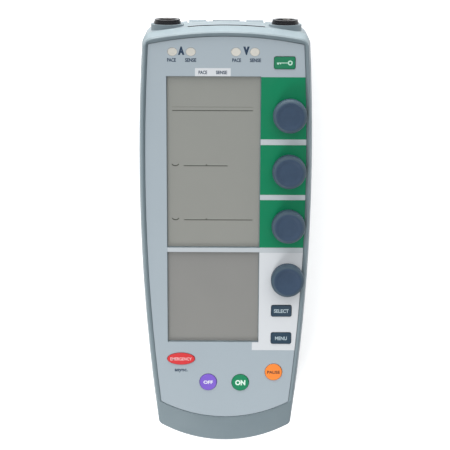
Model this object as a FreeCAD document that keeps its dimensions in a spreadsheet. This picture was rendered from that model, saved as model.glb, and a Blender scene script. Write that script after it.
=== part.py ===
"""External temporary pacemaker: a hand-held, battery-powered box with two lead sockets in its top
edge, two display windows, four dials and seven keys. It lies on its flat back.

Frame, in millimetres: +Z out of the control panel, +Y towards the lead sockets, +X to the right
of someone reading the panel. The origin is on the back face, midway along and across the box.
"""

import FreeCAD, Part

import math
import os
import re

import Sketcher
from FreeCAD import Placement, Rotation, Vector

SIZES = [
    # Outline of the case, seen from the front: four large arcs joined by small corners
    ("case_width", 81.8, "across the widest point"),
    ("side_radius", 985.0, "bow of each long side"),
    ("widest_y", 33.9, "height on the case of its widest point"),
    ("case_top", 102.0, "origin to the middle of the top edge"),
    ("case_top_radius", 196.0, "bow of the top edge"),
    ("case_bottom", 103.9, "origin to the middle of the bottom edge"),
    ("case_bottom_radius", 63.0, "bow of the bottom edge"),
    ("top_corner", 5.5, "corner beside each socket"),
    ("bottom_corner", 3.0, "corner at the chin"),
    ("least_corner", 0.5, "smallest inside corner"),
    # Case shells
    ("wall", 2.5, "side and back walls"),
    ("rear_height", 28.5, "back face to the parting plane"),
    ("seam_gap", 0.5, "shadow line between the shells"),
    ("back_round", 4.0, "rounding of the back edge"),
    ("front_band", 1.7, "upright band above the seam"),
    ("front_wall", 2.3, "wall under the control panel"),
    ("panel_height", 36.5, "back face to the control panel"),
    ("rim_rise_top", 1.5, "rim above the panel at the brow"),
    ("rim_rise_bottom", 0.2, "rim above the panel at the chin"),
    ("rim_draft", 1.0, "lean of the front shell's sides"),
    ("brow_inset", 1.8, "lean of the front shell's top"),
    ("chin_length", 14.0, "slope from the panel to the bottom edge"),
    ("rim_bevel", 0.6, "bevel of the rim's outer edge"),
    ("chin_bevel", 0.2, "the same at the chin"),
    ("slope_top", 1.4, "sloped step under the brow"),
    ("slope_side", 0.8, "sloped step along the sides"),
    ("slope_bottom", 0.15, "sloped step at the chin"),
    # Printed overlay on the control panel
    ("overlay_inset", 3.05, "case side to overlay side"),
    ("overlay_drop", 4.3, "case top to its top edge"),
    ("overlay_top_radius", 177.0, "bow of its top edge"),
    ("overlay_chin", 0.7, "foot of the slope to its bottom edge"),
    ("overlay_bottom_radius", 65.0, "bow of its bottom edge"),
    ("overlay_corner", 0.8, "corner radius"),
    ("overlay_thickness", 0.5, "sheet thickness"),
    ("overlay_gap", 0.3, "gap round the sheet"),
    # Seal between the shells
    ("gasket_inset", 0.8, "case side to the seal"),
    ("gasket_width", 0.9, "across the cord"),
    ("gasket_depth", 0.9, "depth of its groove"),
    ("gasket_fit", 0.05, "gap each side of it"),
    # Display windows and the displays behind them
    ("window_left_side", 13.4, "case side to both windows"),
    ("window_right_side", 24.9, "case side to both windows"),
    ("upper_window_drop", 23.0, "case top to the upper window"),
    ("window_split", -4.15, "middle of the bar between the windows"),
    ("window_bar", 2.7, "width of the bar between the windows"),
    ("lower_window_rise", 53.6, "case bottom to the lower window"),
    ("window_thickness", 1.5, "clear plate"),
    ("window_fit", 0.3, "gap round each clear plate"),
    ("window_ledge", 1.0, "ledge that holds each clear plate"),
    ("window_sink", 0.1, "clear plate below the overlay"),
    ("display_margin", 1.1, "display glass beyond the window"),
    ("display_thickness", 2.1, "display glass"),
    ("display_gap", 0.15, "air above the display glass"),
    ("display_spacing", 0.6, "between the two displays"),
    ("display_frame_wall", 1.6, "wall of the frame round the displays"),
    ("backlight_floor", 0.4, "frame floor under the light guides"),
    # Dials and their encoders
    ("knob_side", 11.1, "case side to the axes of the dials"),
    ("first_knob_drop", 40.6, "case top to the axis of the top dial"),
    ("last_knob_rise", 85.8, "case bottom to the axis of the lowest dial"),
    ("knob_radius", 7.95, "outside of the dial"),
    ("knob_lift", 1.2, "dial above the panel"),
    ("knob_height", 5.3, "dial from skirt to face"),
    ("knob_round", 1.9, "edge of the dial's face"),
    ("knob_skirt", 1.9, "skirt wall"),
    ("knob_hollow", 2.6, "depth of the hollow under the dial"),
    ("knob_dish", 0.3, "depth of the dished face"),
    ("knob_dish_radius", 5.2, "radius of the dished face"),
    ("shaft_radius", 3.0, "encoder shaft"),
    ("shaft_flat", 2.3, "axis to the flat on the shaft"),
    ("shaft_fit", 0.05, "running gap round the shaft"),
    ("shaft_seat", 1.1, "shaft end inside the encoder, above the board"),
    ("dial_cap", 1.2, "dial material above the shaft"),
    ("bushing_radius", 3.7, "threaded neck of the encoder"),
    ("bushing_rise", 1.9, "neck above the panel"),
    ("bushing_fit", 0.2, "gap round the neck"),
    ("encoder_width", 11.6, "encoder housing, square"),
    # Keys
    ("key_proud", 0.5, "key cap above the panel"),
    ("key_travel", 0.6, "how far a key goes down"),
    ("key_fit", 0.2, "gap round a key cap"),
    ("key_flange", 0.7, "flange that keeps a key in"),
    ("key_flange_height", 0.7, "thickness of the flange"),
    ("key_slack", 0.1, "flange below the wall at rest"),
    ("key_edge", 0.2, "softened edge of the cap"),
    ("small_key_width", 9.7, "lock, select and menu keys"),
    ("small_key_height", 5.6, "lock, select and menu keys"),
    ("small_key_corner", 0.8, "lock, select and menu keys"),
    ("round_key_radius", 4.15, "on, off and pause keys"),
    ("emergency_key_length", 13.4, "oval key"),
    ("emergency_key_width", 5.95, "oval key"),
    ("lock_key_side", 13.8, "case side to its middle"),
    ("lock_key_drop", 16.3, "case top to its middle"),
    ("menu_keys_side", 13.7, "case side to the select and menu keys"),
    ("select_key_step", 16.4, "lowest dial to the select key"),
    ("menu_key_step", 30.3, "lowest dial to the menu key"),
    ("emergency_key_side", 19.6, "case side to its middle"),
    ("emergency_key_rise", 44.7, "case bottom to its middle"),
    ("off_key_left", 8.1, "left of the case's middle"),
    ("off_key_rise", 32.7, "case bottom to its middle"),
    ("on_key_right", 7.6, "right of the case's middle"),
    ("on_key_rise", 32.55, "case bottom to its middle"),
    ("pause_key_side", 17.1, "case side to its middle"),
    ("pause_key_rise", 38.0, "case bottom to its middle"),
    ("switch_width", 5.0, "switch under a key"),
    ("switch_stem_radius", 1.6, "plunger of the switch"),
    ("switch_stem_height", 0.6, "plunger of the switch"),
    ("switch_gap", 0.1, "key to plunger when pressed home"),
    # Signal lights above the windows
    ("light_length", 4.4, "oval light pipe"),
    ("light_width", 3.8, "oval light pipe"),
    ("light_fit", 0.1, "gap round a light pipe"),
    ("light_lip", 0.7, "foot of a light pipe beyond its hole"),
    ("light_drop", 11.4, "case top to the row of lights"),
    ("atrial_pace_side", 16.05, "case's left side to this light"),
    ("atrial_sense_side", 24.55, "case's left side to this light"),
    ("ventricular_pace_side", 36.35, "case's right side to this light"),
    ("ventricular_sense_side", 27.65, "case's right side to this light"),
    ("led_size", 2.6, "light source under each pipe, square"),
    ("led_height", 1.4, "light source under each pipe"),
    # Boards
    ("board_thickness", 1.6, "both boards"),
    ("control_board_depth", 6.9, "panel wall to the control board's underside"),
    ("control_board_inset", 4.05, "case side to the control board"),
    ("control_board_drop", 9.9, "case top to its top edge"),
    ("control_board_rise", 26.4, "case bottom to its bottom edge"),
    ("main_board_depth", 7.8, "control board down to the main board"),
    ("main_board_side", 10.5, "case side to its edge"),
    ("main_board_drop", 26.0, "case top to its top edge"),
    ("main_board_gap", 2.2, "battery bay to the main board"),
    ("boss_clearance", 0.6, "board edge round a screw boss"),
    # Case screws and bosses
    ("boss_radius", 3.4, "screw bosses"),
    ("upper_screw_side", 6.5, "case side to the pair beside the top dial"),
    ("upper_screw_step", 12.6, "the pair above the top dial"),
    ("middle_screw_side", 6.4, "case side to the pair between the dials"),
    ("lower_screw_side", 13.9, "case side to the pair above the chin"),
    ("lower_screw_rise", 24.3, "case bottom to the pair above the chin"),
    ("screw_radius", 1.45, "shank"),
    ("screw_hole_fit", 0.1, "gap round the shank"),
    ("screw_head_radius", 2.7, "head"),
    ("screw_head_height", 2.2, "head"),
    ("screw_head_fit", 0.35, "gap round the head"),
    ("screw_seat", 16.0, "back face to the underside of the head"),
    ("screw_end_depth", 3.8, "overlay's seat down to the tip"),
    ("post_radius", 2.3, "posts that carry the boards"),
    ("board_screw_radius", 1.0, "shank"),
    ("board_screw_head", 1.9, "head radius"),
    ("board_screw_head_height", 1.4, "head"),
    ("board_screw_length", 4.5, "shank in its post"),
    ("control_post_side", 7.9, "case side to the pair between the dials"),
    ("lower_post_side", 10.6, "case side to the pair near the chin"),
    ("lower_post_rise", 47.9, "case bottom to the pair near the chin"),
    ("main_post_side", 14.9, "case side to both pairs"),
    ("main_post_drop", 8.0, "main board's top edge to the upper pair"),
    ("main_post_rise", 8.15, "main board's lower edge to the lower pair"),
    # Lead sockets
    ("socket_side", 13.2, "case side to each socket"),
    ("socket_drop", 8.0, "parting plane down to the axis"),
    ("boss_set_back", 0.2, "case top to the end of each round boss"),
    ("boss_outer", 7.7, "radius of the round boss"),
    ("boss_depth", 6.8, "length of the round boss"),
    ("socket_proud", 2.1, "socket beyond its boss"),
    ("socket_rim_radius", 6.0, "outer end of the socket"),
    ("socket_flange_radius", 6.35, "flange on the boss"),
    ("socket_flange", 1.0, "flange thickness"),
    ("socket_barrel", 5.1, "barrel through the boss"),
    ("socket_barrel_fit", 0.1, "gap round the barrel"),
    ("socket_bore", 4.2, "radius that takes the lead plug"),
    ("socket_bore_depth", 11.0, "depth that takes the lead plug"),
    ("socket_length", 17.0, "rim to the inner end"),
    ("socket_lead_in", 0.5, "bevel at the mouth"),
    ("contact_radius", 0.9, "contact sleeve"),
    ("contact_hole", 0.5, "hole in the contact sleeve"),
    ("contact_spacing", 3.6, "between the two contacts"),
    ("contact_tail", 2.5, "solder tail behind the socket"),
    ("nut_radius", 7.2, "ring nut inside the case"),
    ("nut_height", 2.4, "ring nut inside the case"),
    # Battery, its drawer and bay
    ("battery_length", 46.4, "without its terminals"),
    ("battery_width", 26.5, "square battery"),
    ("battery_depth", 17.5, "square battery"),
    ("terminal_height", 1.9, "terminals"),
    ("terminal_spacing", 12.7, "terminals"),
    ("terminal_small", 2.9, "radius of the small terminal"),
    ("terminal_large", 3.9, "radius of the large terminal"),
    ("cup_radius", 2.3, "battery contact cups"),
    ("plate_margin", 4.4, "contact plate beyond the terminals' axes, across"),
    ("plate_height", 10.7, "contact plate"),
    ("battery_fit", 0.25, "gap round the battery"),
    ("drawer_side", 2.9, "side walls of the drawer"),
    ("drawer_floor", 1.4, "floor of the drawer"),
    ("drawer_front", 3.0, "front wall of the drawer"),
    ("drawer_lip", 1.4, "low wall behind the battery"),
    ("drawer_lip_height", 3.6, "low wall behind the battery"),
    ("drawer_wall_height", 14.0, "side walls above the floor"),
    ("drawer_gap", 0.25, "gap round the drawer"),
    ("bay_floor", 3.4, "back face to the bay floor"),
    ("bay_wall", 2.0, "walls of the bay"),
    ("bay_cover_height", 1.5, "lid of the bay"),
    ("bay_cover_fit", 0.3, "lid to the bottom wall"),
    ("contact_plate", 1.2, "battery contact plate"),
    ("contact_cup", 0.8, "battery contact cups"),
    ("grip_width", 16.0, "finger groove in the drawer front"),
    ("grip_height", 3.2, "finger groove in the drawer front"),
    ("grip_depth", 0.9, "finger groove in the drawer front"),
    # Drawer release on the right flank
    ("release_rise", 37.4, "case bottom to the middle of the button"),
    ("release_z", 14.4, "middle of the button"),
    ("release_length", 15.0, "along the case"),
    ("release_height", 8.0, "across the flank"),
    ("release_corner", 2.0, "corner of the button"),
    ("release_proud", 0.35, "button beyond the flank"),
    ("release_fit", 0.25, "gap round the button"),
    ("release_travel", 1.2, "how far the button goes in"),
    ("release_flange", 1.0, "flange behind the wall"),
    ("release_lap", 1.0, "flange beyond the button all round"),
    ("release_bar_width", 4.0, "bar to the drawer, along the case"),
    ("release_bar_height", 3.0, "bar to the drawer, across the flank"),
    ("latch_gap", 0.3, "bar to the drawer, pressed home"),
    ("latch_slit", 0.8, "slit round the drawer's latch tongue"),
    ("latch_tongue", 5.0, "width of the latch tongue"),
    ("latch_tongue_length", 14.0, "length of the latch tongue"),
    ("spring_seat_gap", 3.2, "seat rib to the button's flange"),
    ("spring_seat", 1.5, "seat rib"),
    ("spring_seat_inset", 0.8, "seat rib inside the button's ends"),
    ("spring_seat_rise", 1.0, "seat rib above the button"),
    ("spring_thickness", 0.4, "bow spring"),
    ("spring_height", 2.6, "bow spring"),
    ("spring_length", 11.0, "bow spring"),
    # Hanger on the back
    ("hinge_drop", 4.8, "case top to the hinge axis"),
    ("hinge_height", 5.2, "back face to the hinge axis"),
    ("knuckle_radius", 4.7, "knuckle and lugs"),
    ("knuckle_half", 6.5, "half the width of the knuckle"),
    ("lug_inner", 9.6, "inner face of each lug"),
    ("lug_outer", 17.8, "outer face of each lug"),
    ("hinge_room", 0.5, "gap round the knuckle"),
    ("lug_web", 3.3, "half the width of the web over each lug"),
    ("pin_radius", 1.5, "hinge pin"),
    ("pin_fit", 0.05, "gap round the pin"),
    ("hanger_thickness", 4.0, "loop of the hanger"),
    ("hanger_sink", 0.4, "loop below the back face"),
    ("hanger_half", 15.0, "half the width of the loop"),
    ("hanger_drop", 7.0, "hinge axis to the upper edge of the loop"),
    ("hanger_length", 50.2, "upper to lower edge of the loop"),
    ("hanger_corner", 7.0, "corner of the loop"),
    ("eye_corner", 3.5, "corner of the eye"),
    ("hanger_bar", 5.5, "width of the loop's bars"),
    ("hanger_room", 0.5, "gap round the loop"),
    ("finger_half", 8.0, "half the width of the finger scoop"),
    ("finger_length", 7.0, "finger scoop below the loop"),
    ("finger_corner", 4.0, "corner of the finger scoop"),
    ("liner", 2.0, "wall behind the hanger's recess"),
    # Parts on the main board
    ("sounder_radius", 9.5, "sounder"),
    ("sounder_height", 5.2, "sounder"),
    ("sounder_drop", 18.0, "main board's top edge to its middle"),
    ("link_length", 22.0, "connector between the boards"),
    ("link_width", 5.0, "connector between the boards"),
    ("link_rise", 24.0, "origin to its middle"),
    ("transformer_size", 13.0, "output transformers, square"),
    ("transformer_height", 9.5, "output transformers"),
    ("transformer_drop", 27.0, "main board's top edge to their middles"),
    ("transformer_side", 17.7, "case side to their middles"),
    ("can_radius", 4.5, "storage capacitors"),
    ("can_height", 9.0, "storage capacitors"),
    ("can_pitch", 11.5, "from capacitor to capacitor"),
    ("can_rise", 26.15, "main board's lower edge to their row"),
]
NAMES = {name for name, _, _ in SIZES}

document = FreeCAD.newDocument("TemporaryPacemaker")
sheet = document.addObject("Spreadsheet::Sheet", "Sizes")
for row, (name, size, meaning) in enumerate(SIZES, 1):
    sheet.set(f"A{row}", name)
    sheet.set(f"B{row}", str(size))
    sheet.set(f"C{row}", meaning)
    sheet.setAlias(f"B{row}", name)
document.recompute()

# Heights and places that several pieces share, as formulas in the sizes
FRONT_BASE = "(rear_height + seam_gap)"
BAND_TOP = f"({FRONT_BASE} + front_band)"
PANEL_SEAT = "(panel_height - overlay_thickness)"
PANEL_UNDER = f"({PANEL_SEAT} - front_wall)"
SIDE = "(case_width / 2)"
RIM_TOP_Y = "(case_top - brow_inset)"
RIM_BOTTOM_Y = "(case_bottom - chin_length)"
RIM_SLOPE = f"((rim_rise_top - rim_rise_bottom) / ({RIM_TOP_Y} + {RIM_BOTTOM_Y}))"
RIM_LEVEL = f"(panel_height + rim_rise_bottom + {RIM_SLOPE} * {RIM_BOTTOM_Y})"
OVERLAY_TOP = "(case_top - overlay_drop)"
OVERLAY_BOTTOM = f"({RIM_BOTTOM_Y} - overlay_chin)"
CONTROL_BASE = f"({PANEL_UNDER} - control_board_depth)"
BOARD_TOP = f"({CONTROL_BASE} + board_thickness)"
MAIN_BASE = f"({CONTROL_BASE} - main_board_depth)"
MAIN_TOP = f"({MAIN_BASE} + board_thickness)"
KNOB_BASE = "(panel_height + knob_lift)"
KNOB_X = f"({SIDE} - knob_side)"
FIRST_KNOB_Y = "(case_top - first_knob_drop)"
LAST_KNOB_Y = "(last_knob_rise - case_bottom)"
KEY_BASE = f"({PANEL_UNDER} - key_slack - key_flange_height)"
SWITCH_TOP = f"({KEY_BASE} - key_travel - switch_gap)"
DISPLAY_TOP = f"({PANEL_UNDER} - display_gap)"
WINDOW_LEFT = f"(window_left_side - {SIDE})"
WINDOW_RIGHT = f"({SIDE} - window_right_side)"
WINDOW_WIDTH = f"({WINDOW_RIGHT} - {WINDOW_LEFT})"
LIGHT_Y = "(case_top - light_drop)"
DRAWER_HALF = "(battery_width / 2 + battery_fit + drawer_side)"
BAY_HALF = f"({DRAWER_HALF} + drawer_gap)"
BAY_OUTER = f"({BAY_HALF} + bay_wall)"
DRAWER_BASE = "(bay_floor + drawer_gap)"
BATTERY_BASE = f"({DRAWER_BASE} + drawer_floor)"
BATTERY_MIDDLE = f"({BATTERY_BASE} + battery_depth / 2)"
BAY_TOP = f"({BATTERY_BASE} + battery_depth + 2 * drawer_gap)"
BATTERY_FRONT = "(drawer_front + battery_fit - case_bottom)"
BATTERY_BACK = f"({BATTERY_FRONT} + battery_length)"
BAY_END = f"({BATTERY_BACK} + terminal_height + contact_cup + contact_plate)"
MAIN_LOW_Y = f"({BAY_END} + bay_wall + main_board_gap)"
MAIN_TOP_Y = "(case_top - main_board_drop)"
SOCKET_X = f"({SIDE} - socket_side)"
SOCKET_Z = "(rear_height - socket_drop)"
BOSS_END = "(case_top - boss_set_back)"
SOCKET_RIM = f"({BOSS_END} + socket_proud)"
RELEASE_Y = "(release_rise - case_bottom)"
RELEASE_END_GAP = f"(widest_y - {RELEASE_Y} + release_length / 2 + release_lap)"
FLANK_END_X = f"({SIDE} - side_radius + sqrt(side_radius ^ 2 - {RELEASE_END_GAP} ^ 2))"
RELEASE_FLANGE_X = f"({FLANK_END_X} - wall - release_fit)"
SEAT_RIB_X = f"({RELEASE_FLANGE_X} - release_flange - spring_seat_gap)"
RECESS_DEPTH = "(hanger_sink + hanger_thickness + hanger_room)"
HINGE_Y = "(case_top - hinge_drop)"
HANGER_TOP = f"({HINGE_Y} - hanger_drop)"
HANGER_BOTTOM = f"({HANGER_TOP} - hanger_length)"
HANGER_MIDDLE = f"({HANGER_TOP} - hanger_length / 2)"
SCREW_END = f"({PANEL_SEAT} - screw_end_depth)"
SCREW_HEAD_BASE = "(screw_seat - screw_head_height)"

KNOBS = ["rate", "atrial_output", "ventricular_output", "menu"]
SOCKETS = {"atrial": -1, "ventricular": 1}


def knob_y(number):
    """The height on the case of a dial's axis, counted from the top, or of a place between two dials."""
    return f"({FIRST_KNOB_Y} - {number} * ({FIRST_KNOB_Y} - {LAST_KNOB_Y}) / {len(KNOBS) - 1})"


# Each key's form and the place of its middle
KEYS = {
    "lock": ("small", f"({SIDE} - lock_key_side)", "(case_top - lock_key_drop)"),
    "select": ("small", f"({SIDE} - menu_keys_side)", f"({LAST_KNOB_Y} - select_key_step)"),
    "menu": ("small", f"({SIDE} - menu_keys_side)", f"({LAST_KNOB_Y} - menu_key_step)"),
    "emergency": ("oval", f"(emergency_key_side - {SIDE})", "(emergency_key_rise - case_bottom)"),
    "off": ("round", "(-off_key_left)", "(off_key_rise - case_bottom)"),
    "on": ("round", "on_key_right", "(on_key_rise - case_bottom)"),
    "pause": ("round", f"({SIDE} - pause_key_side)", "(pause_key_rise - case_bottom)"),
}

# The middle of each signal light, across the case
LIGHTS = {
    "atrial_pace": f"(atrial_pace_side - {SIDE})",
    "atrial_sense": f"(atrial_sense_side - {SIDE})",
    "ventricular_pace": f"({SIDE} - ventricular_pace_side)",
    "ventricular_sense": f"({SIDE} - ventricular_sense_side)",
}

# The lower and upper edges of both windows
WINDOWS = {
    "upper": ("(window_split + window_bar / 2)", "(case_top - upper_window_drop)"),
    "lower": ("(lower_window_rise - case_bottom)", "(window_split - window_bar / 2)"),
}

# Pairs of screws and posts, each as its distance from the middle and its height on the case
CASE_SCREWS = [
    (f"({SIDE} - upper_screw_side)", f"({FIRST_KNOB_Y} + upper_screw_step)"),
    (f"({SIDE} - middle_screw_side)", knob_y(2.5)),
    (f"({SIDE} - lower_screw_side)", "(lower_screw_rise - case_bottom)"),
]
CONTROL_POSTS = [
    (f"({SIDE} - control_post_side)", knob_y(0.5)),
    (f"({SIDE} - lower_post_side)", "(lower_post_rise - case_bottom)"),
]
MAIN_POSTS = [
    (f"({SIDE} - main_post_side)", f"({MAIN_TOP_Y} - main_post_drop)"),
    (f"({SIDE} - main_post_side)", f"({MAIN_LOW_Y} + main_post_rise)"),
]

pieces = {}


def sized(formula):
    """Point each size name in a formula at its cell of the sheet."""
    return re.sub(r"[a-z_]+", lambda word: f"Sizes.{word[0]}" if word[0] in NAMES else word[0], formula)


def value(formula):
    """The number that a formula in size names gives."""
    result = sheet.evalExpression(sized(formula))
    return float(getattr(result, "Value", result))


def tie(item, **formulas):
    """Tie properties of a document object to formulas in size names."""
    for path, formula in formulas.items():
        item.setExpression(path.replace("__", "."), sized(formula))


def place(item, x="0", y="0", z="0"):
    """Tie the place of a document object to formulas in size names."""
    tie(item, Placement__Base__x=x, Placement__Base__y=y, Placement__Base__z=z)


def keep(name, item):
    """Name a finished sub-part; its label names its file."""
    item.Label = name
    pieces[name] = item
    return item


# Solids from primitives


def block(name, x, y, z, length, width, height):
    """A rectangular block from its lowest corner."""
    item = document.addObject("Part::Box", name)
    tie(item, Length=length, Width=width, Height=height)
    place(item, x, y, z)
    return item


def rod(name, x, y, z, radius, height, turn=None):
    """A cylinder from the middle of its base, along +Z or turned by (axis, degrees)."""
    item = document.addObject("Part::Cylinder", name)
    if turn:
        item.Placement = Placement(Vector(), Rotation(turn[0], turn[1]))
    tie(item, Radius=radius, Height=height)
    place(item, x, y, z)
    return item


def join(name, items):
    """The union of several solids."""
    item = document.addObject("Part::MultiFuse", name)
    item.Shapes = items
    return item


def cut(name, base, tool):
    """One solid with another taken away."""
    item = document.addObject("Part::Cut", name)
    item.Base = base
    item.Tool = tool
    return item


def common(name, first, second):
    """What two solids share."""
    item = document.addObject("Part::MultiCommon", name)
    item.Shapes = [first, second]
    return item


# Bodies built from sketches


def new_body(name):
    """An empty body."""
    return document.addObject("PartDesign::Body", name)


def new_sketch(body, name, level="0", role="XY_Plane"):
    """A sketch parallel to one of the body's origin planes, lifted to a level along its normal."""
    sketch = body.newObject("Sketcher::SketchObject", name)
    plane = next(item for item in body.Origin.OriginFeatures if item.Role == role)
    sketch.AttachmentSupport = [(plane, "")]
    sketch.MapMode = "FlatFace"
    tie(sketch, AttachmentOffset__Base__z=level)
    return sketch


def extrude(body, name, kind, sketch, length, along=True):
    """A pad or a pocket, along the sketch's normal or against it."""
    item = body.newObject(f"PartDesign::{kind}", name)
    item.Profile = sketch
    tie(item, Length=length)
    item.Reversed = along if kind == "Pocket" else not along
    return item


def loft(body, name, kind, first, second):
    """A ruled loft, added or taken away, between two sketches."""
    item = body.newObject(f"PartDesign::{kind}Loft", name)
    item.Profile = first
    item.Sections = [second]
    item.Ruled = True
    return item


def revolve(body, name, kind, sketch):
    """A full turn of a sketch about its vertical axis, added or taken away."""
    item = body.newObject(f"PartDesign::{kind}", name)
    item.Profile = sketch
    item.ReferenceAxis = (sketch, ["V_Axis"])
    item.Angle = 360
    return item


def soften(body, name, kind, size, test):
    """A fillet or a chamfer on the edges whose ends all pass a test."""
    document.recompute()
    base = body.Tip
    edges = [f"Edge{number}" for number, edge in enumerate(base.Shape.Edges, 1)
             if all(test(vertex.Point) for vertex in edge.Vertexes)]
    item = body.newObject(f"PartDesign::{kind}", name)
    item.Base = (base, edges)
    tie(item, **{"Radius" if kind == "Fillet" else "Size": size})
    return item


def dimension(sketch, kind, where, size):
    """One dimension of a sketch, tied to a formula in size names."""
    index = sketch.addConstraint(Sketcher.Constraint(kind, *where, value(size)))
    tie(sketch, **{f"Constraints[{index}]": size})


def locate(sketch, item, point, x, y):
    """Tie a point of a sketch to its distances from the sketch's origin."""
    dimension(sketch, "DistanceX", (-1, 1, item, point), x)
    dimension(sketch, "DistanceY", (-1, 1, item, point), y)


def draw_circle(sketch, x, y, radius):
    """A circle."""
    item = sketch.addGeometry(Part.Circle(Vector(value(x), value(y), 0), Vector(0, 0, 1), value(radius)))
    dimension(sketch, "Radius", (item,), radius)
    locate(sketch, item, 3, x, y)


def draw_oval(sketch, x, y, length, width):
    """An ellipse, its long axis across the sketch."""
    centre = Vector(value(x), value(y), 0)
    along = Vector(value(length) / 2, 0, 0)
    across = Vector(0, value(width) / 2, 0)
    item = sketch.addGeometry(Part.Ellipse(centre + along, centre + across, centre))
    sketch.exposeInternalGeometry(item)
    major = item + 1
    minor = item + 2
    sketch.addConstraint(Sketcher.Constraint("Horizontal", major))
    dimension(sketch, "Distance", (major,), length)
    dimension(sketch, "Distance", (minor,), width)
    locate(sketch, item, 3, x, y)


def draw_polygon(sketch, points):
    """A closed outline of straight lines through (x, y) formulas."""
    corners = [Vector(value(x), value(y), 0) for x, y in points]
    count = len(points)
    first = sketch.GeometryCount
    lines = [Part.LineSegment(corners[i], corners[(i + 1) % count]) for i in range(count)]
    sketch.addGeometry(lines, False)
    for i in range(count):
        sketch.addConstraint(Sketcher.Constraint("Coincident", first + i, 2, first + (i + 1) % count, 1))
    for i, (x, y) in enumerate(points):
        locate(sketch, first + i, 1, x, y)


def draw_rectangle(sketch, left, bottom, width, height):
    """A rectangle from its lower left corner."""
    right = f"({left}) + ({width})"
    top = f"({bottom}) + ({height})"
    draw_polygon(sketch, [(left, bottom), (right, bottom), (right, top), (left, top)])


def draw_rounded(sketch, x, y, width, height, corner):
    """A rectangle with round corners, from its middle."""
    centre = Vector(value(x), value(y), 0)
    half = Vector(value(width) / 2, value(height) / 2, 0)
    radius = value(corner)
    first = sketch.GeometryCount
    quarters = [(1, -1), (1, 1), (-1, 1), (-1, -1)]
    hubs = [centre + Vector(sx * (half.x - radius), sy * (half.y - radius), 0) for sx, sy in quarters]
    outward = [Vector(0, -1, 0), Vector(1, 0, 0), Vector(0, 1, 0), Vector(-1, 0, 0)]
    for i in range(4):
        start = hubs[i - 1] + outward[i] * radius
        end = hubs[i] + outward[i] * radius
        sketch.addGeometry(Part.LineSegment(start, end))
        turn = (i - 1) * math.pi / 2
        circle = Part.Circle(hubs[i], Vector(0, 0, 1), radius)
        sketch.addGeometry(Part.ArcOfCircle(circle, turn, turn + math.pi / 2))
    for i in range(8):
        sketch.addConstraint(Sketcher.Constraint("Tangent", first + i, 2, first + (i + 1) % 8, 1))
    for i in range(4):
        direction = "Vertical" if i % 2 else "Horizontal"
        sketch.addConstraint(Sketcher.Constraint(direction, first + 2 * i))
        if i:
            sketch.addConstraint(Sketcher.Constraint("Equal", first + 1, first + 2 * i + 1))
    dimension(sketch, "Radius", (first + 1,), corner)
    dimension(sketch, "DistanceX", (first + 6, 1, first + 2, 1), width)
    dimension(sketch, "DistanceY", (first, 1, first + 4, 1), height)
    dimension(sketch, "DistanceX", (-1, 1, first + 6, 1), f"({x}) - ({width}) / 2")
    dimension(sketch, "DistanceY", (-1, 1, first, 1), f"({y}) - ({height}) / 2")


def crossing(hub, radius, other_hub, other_radius, side, end):
    """Where two circles meet, on the named side (+1 right) and end (+1 top)."""
    gap = (other_hub - hub).Length
    along = (radius ** 2 - other_radius ** 2 + gap ** 2) / (2 * gap)
    across = math.sqrt(radius ** 2 - along ** 2)
    unit = (other_hub - hub) / gap
    normal = Vector(-unit.y, unit.x, 0)
    meets = [hub + unit * along + normal * across, hub + unit * along - normal * across]
    return max((p for p in meets if p.x * side > 0), key=lambda p: p.y * end)


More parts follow.
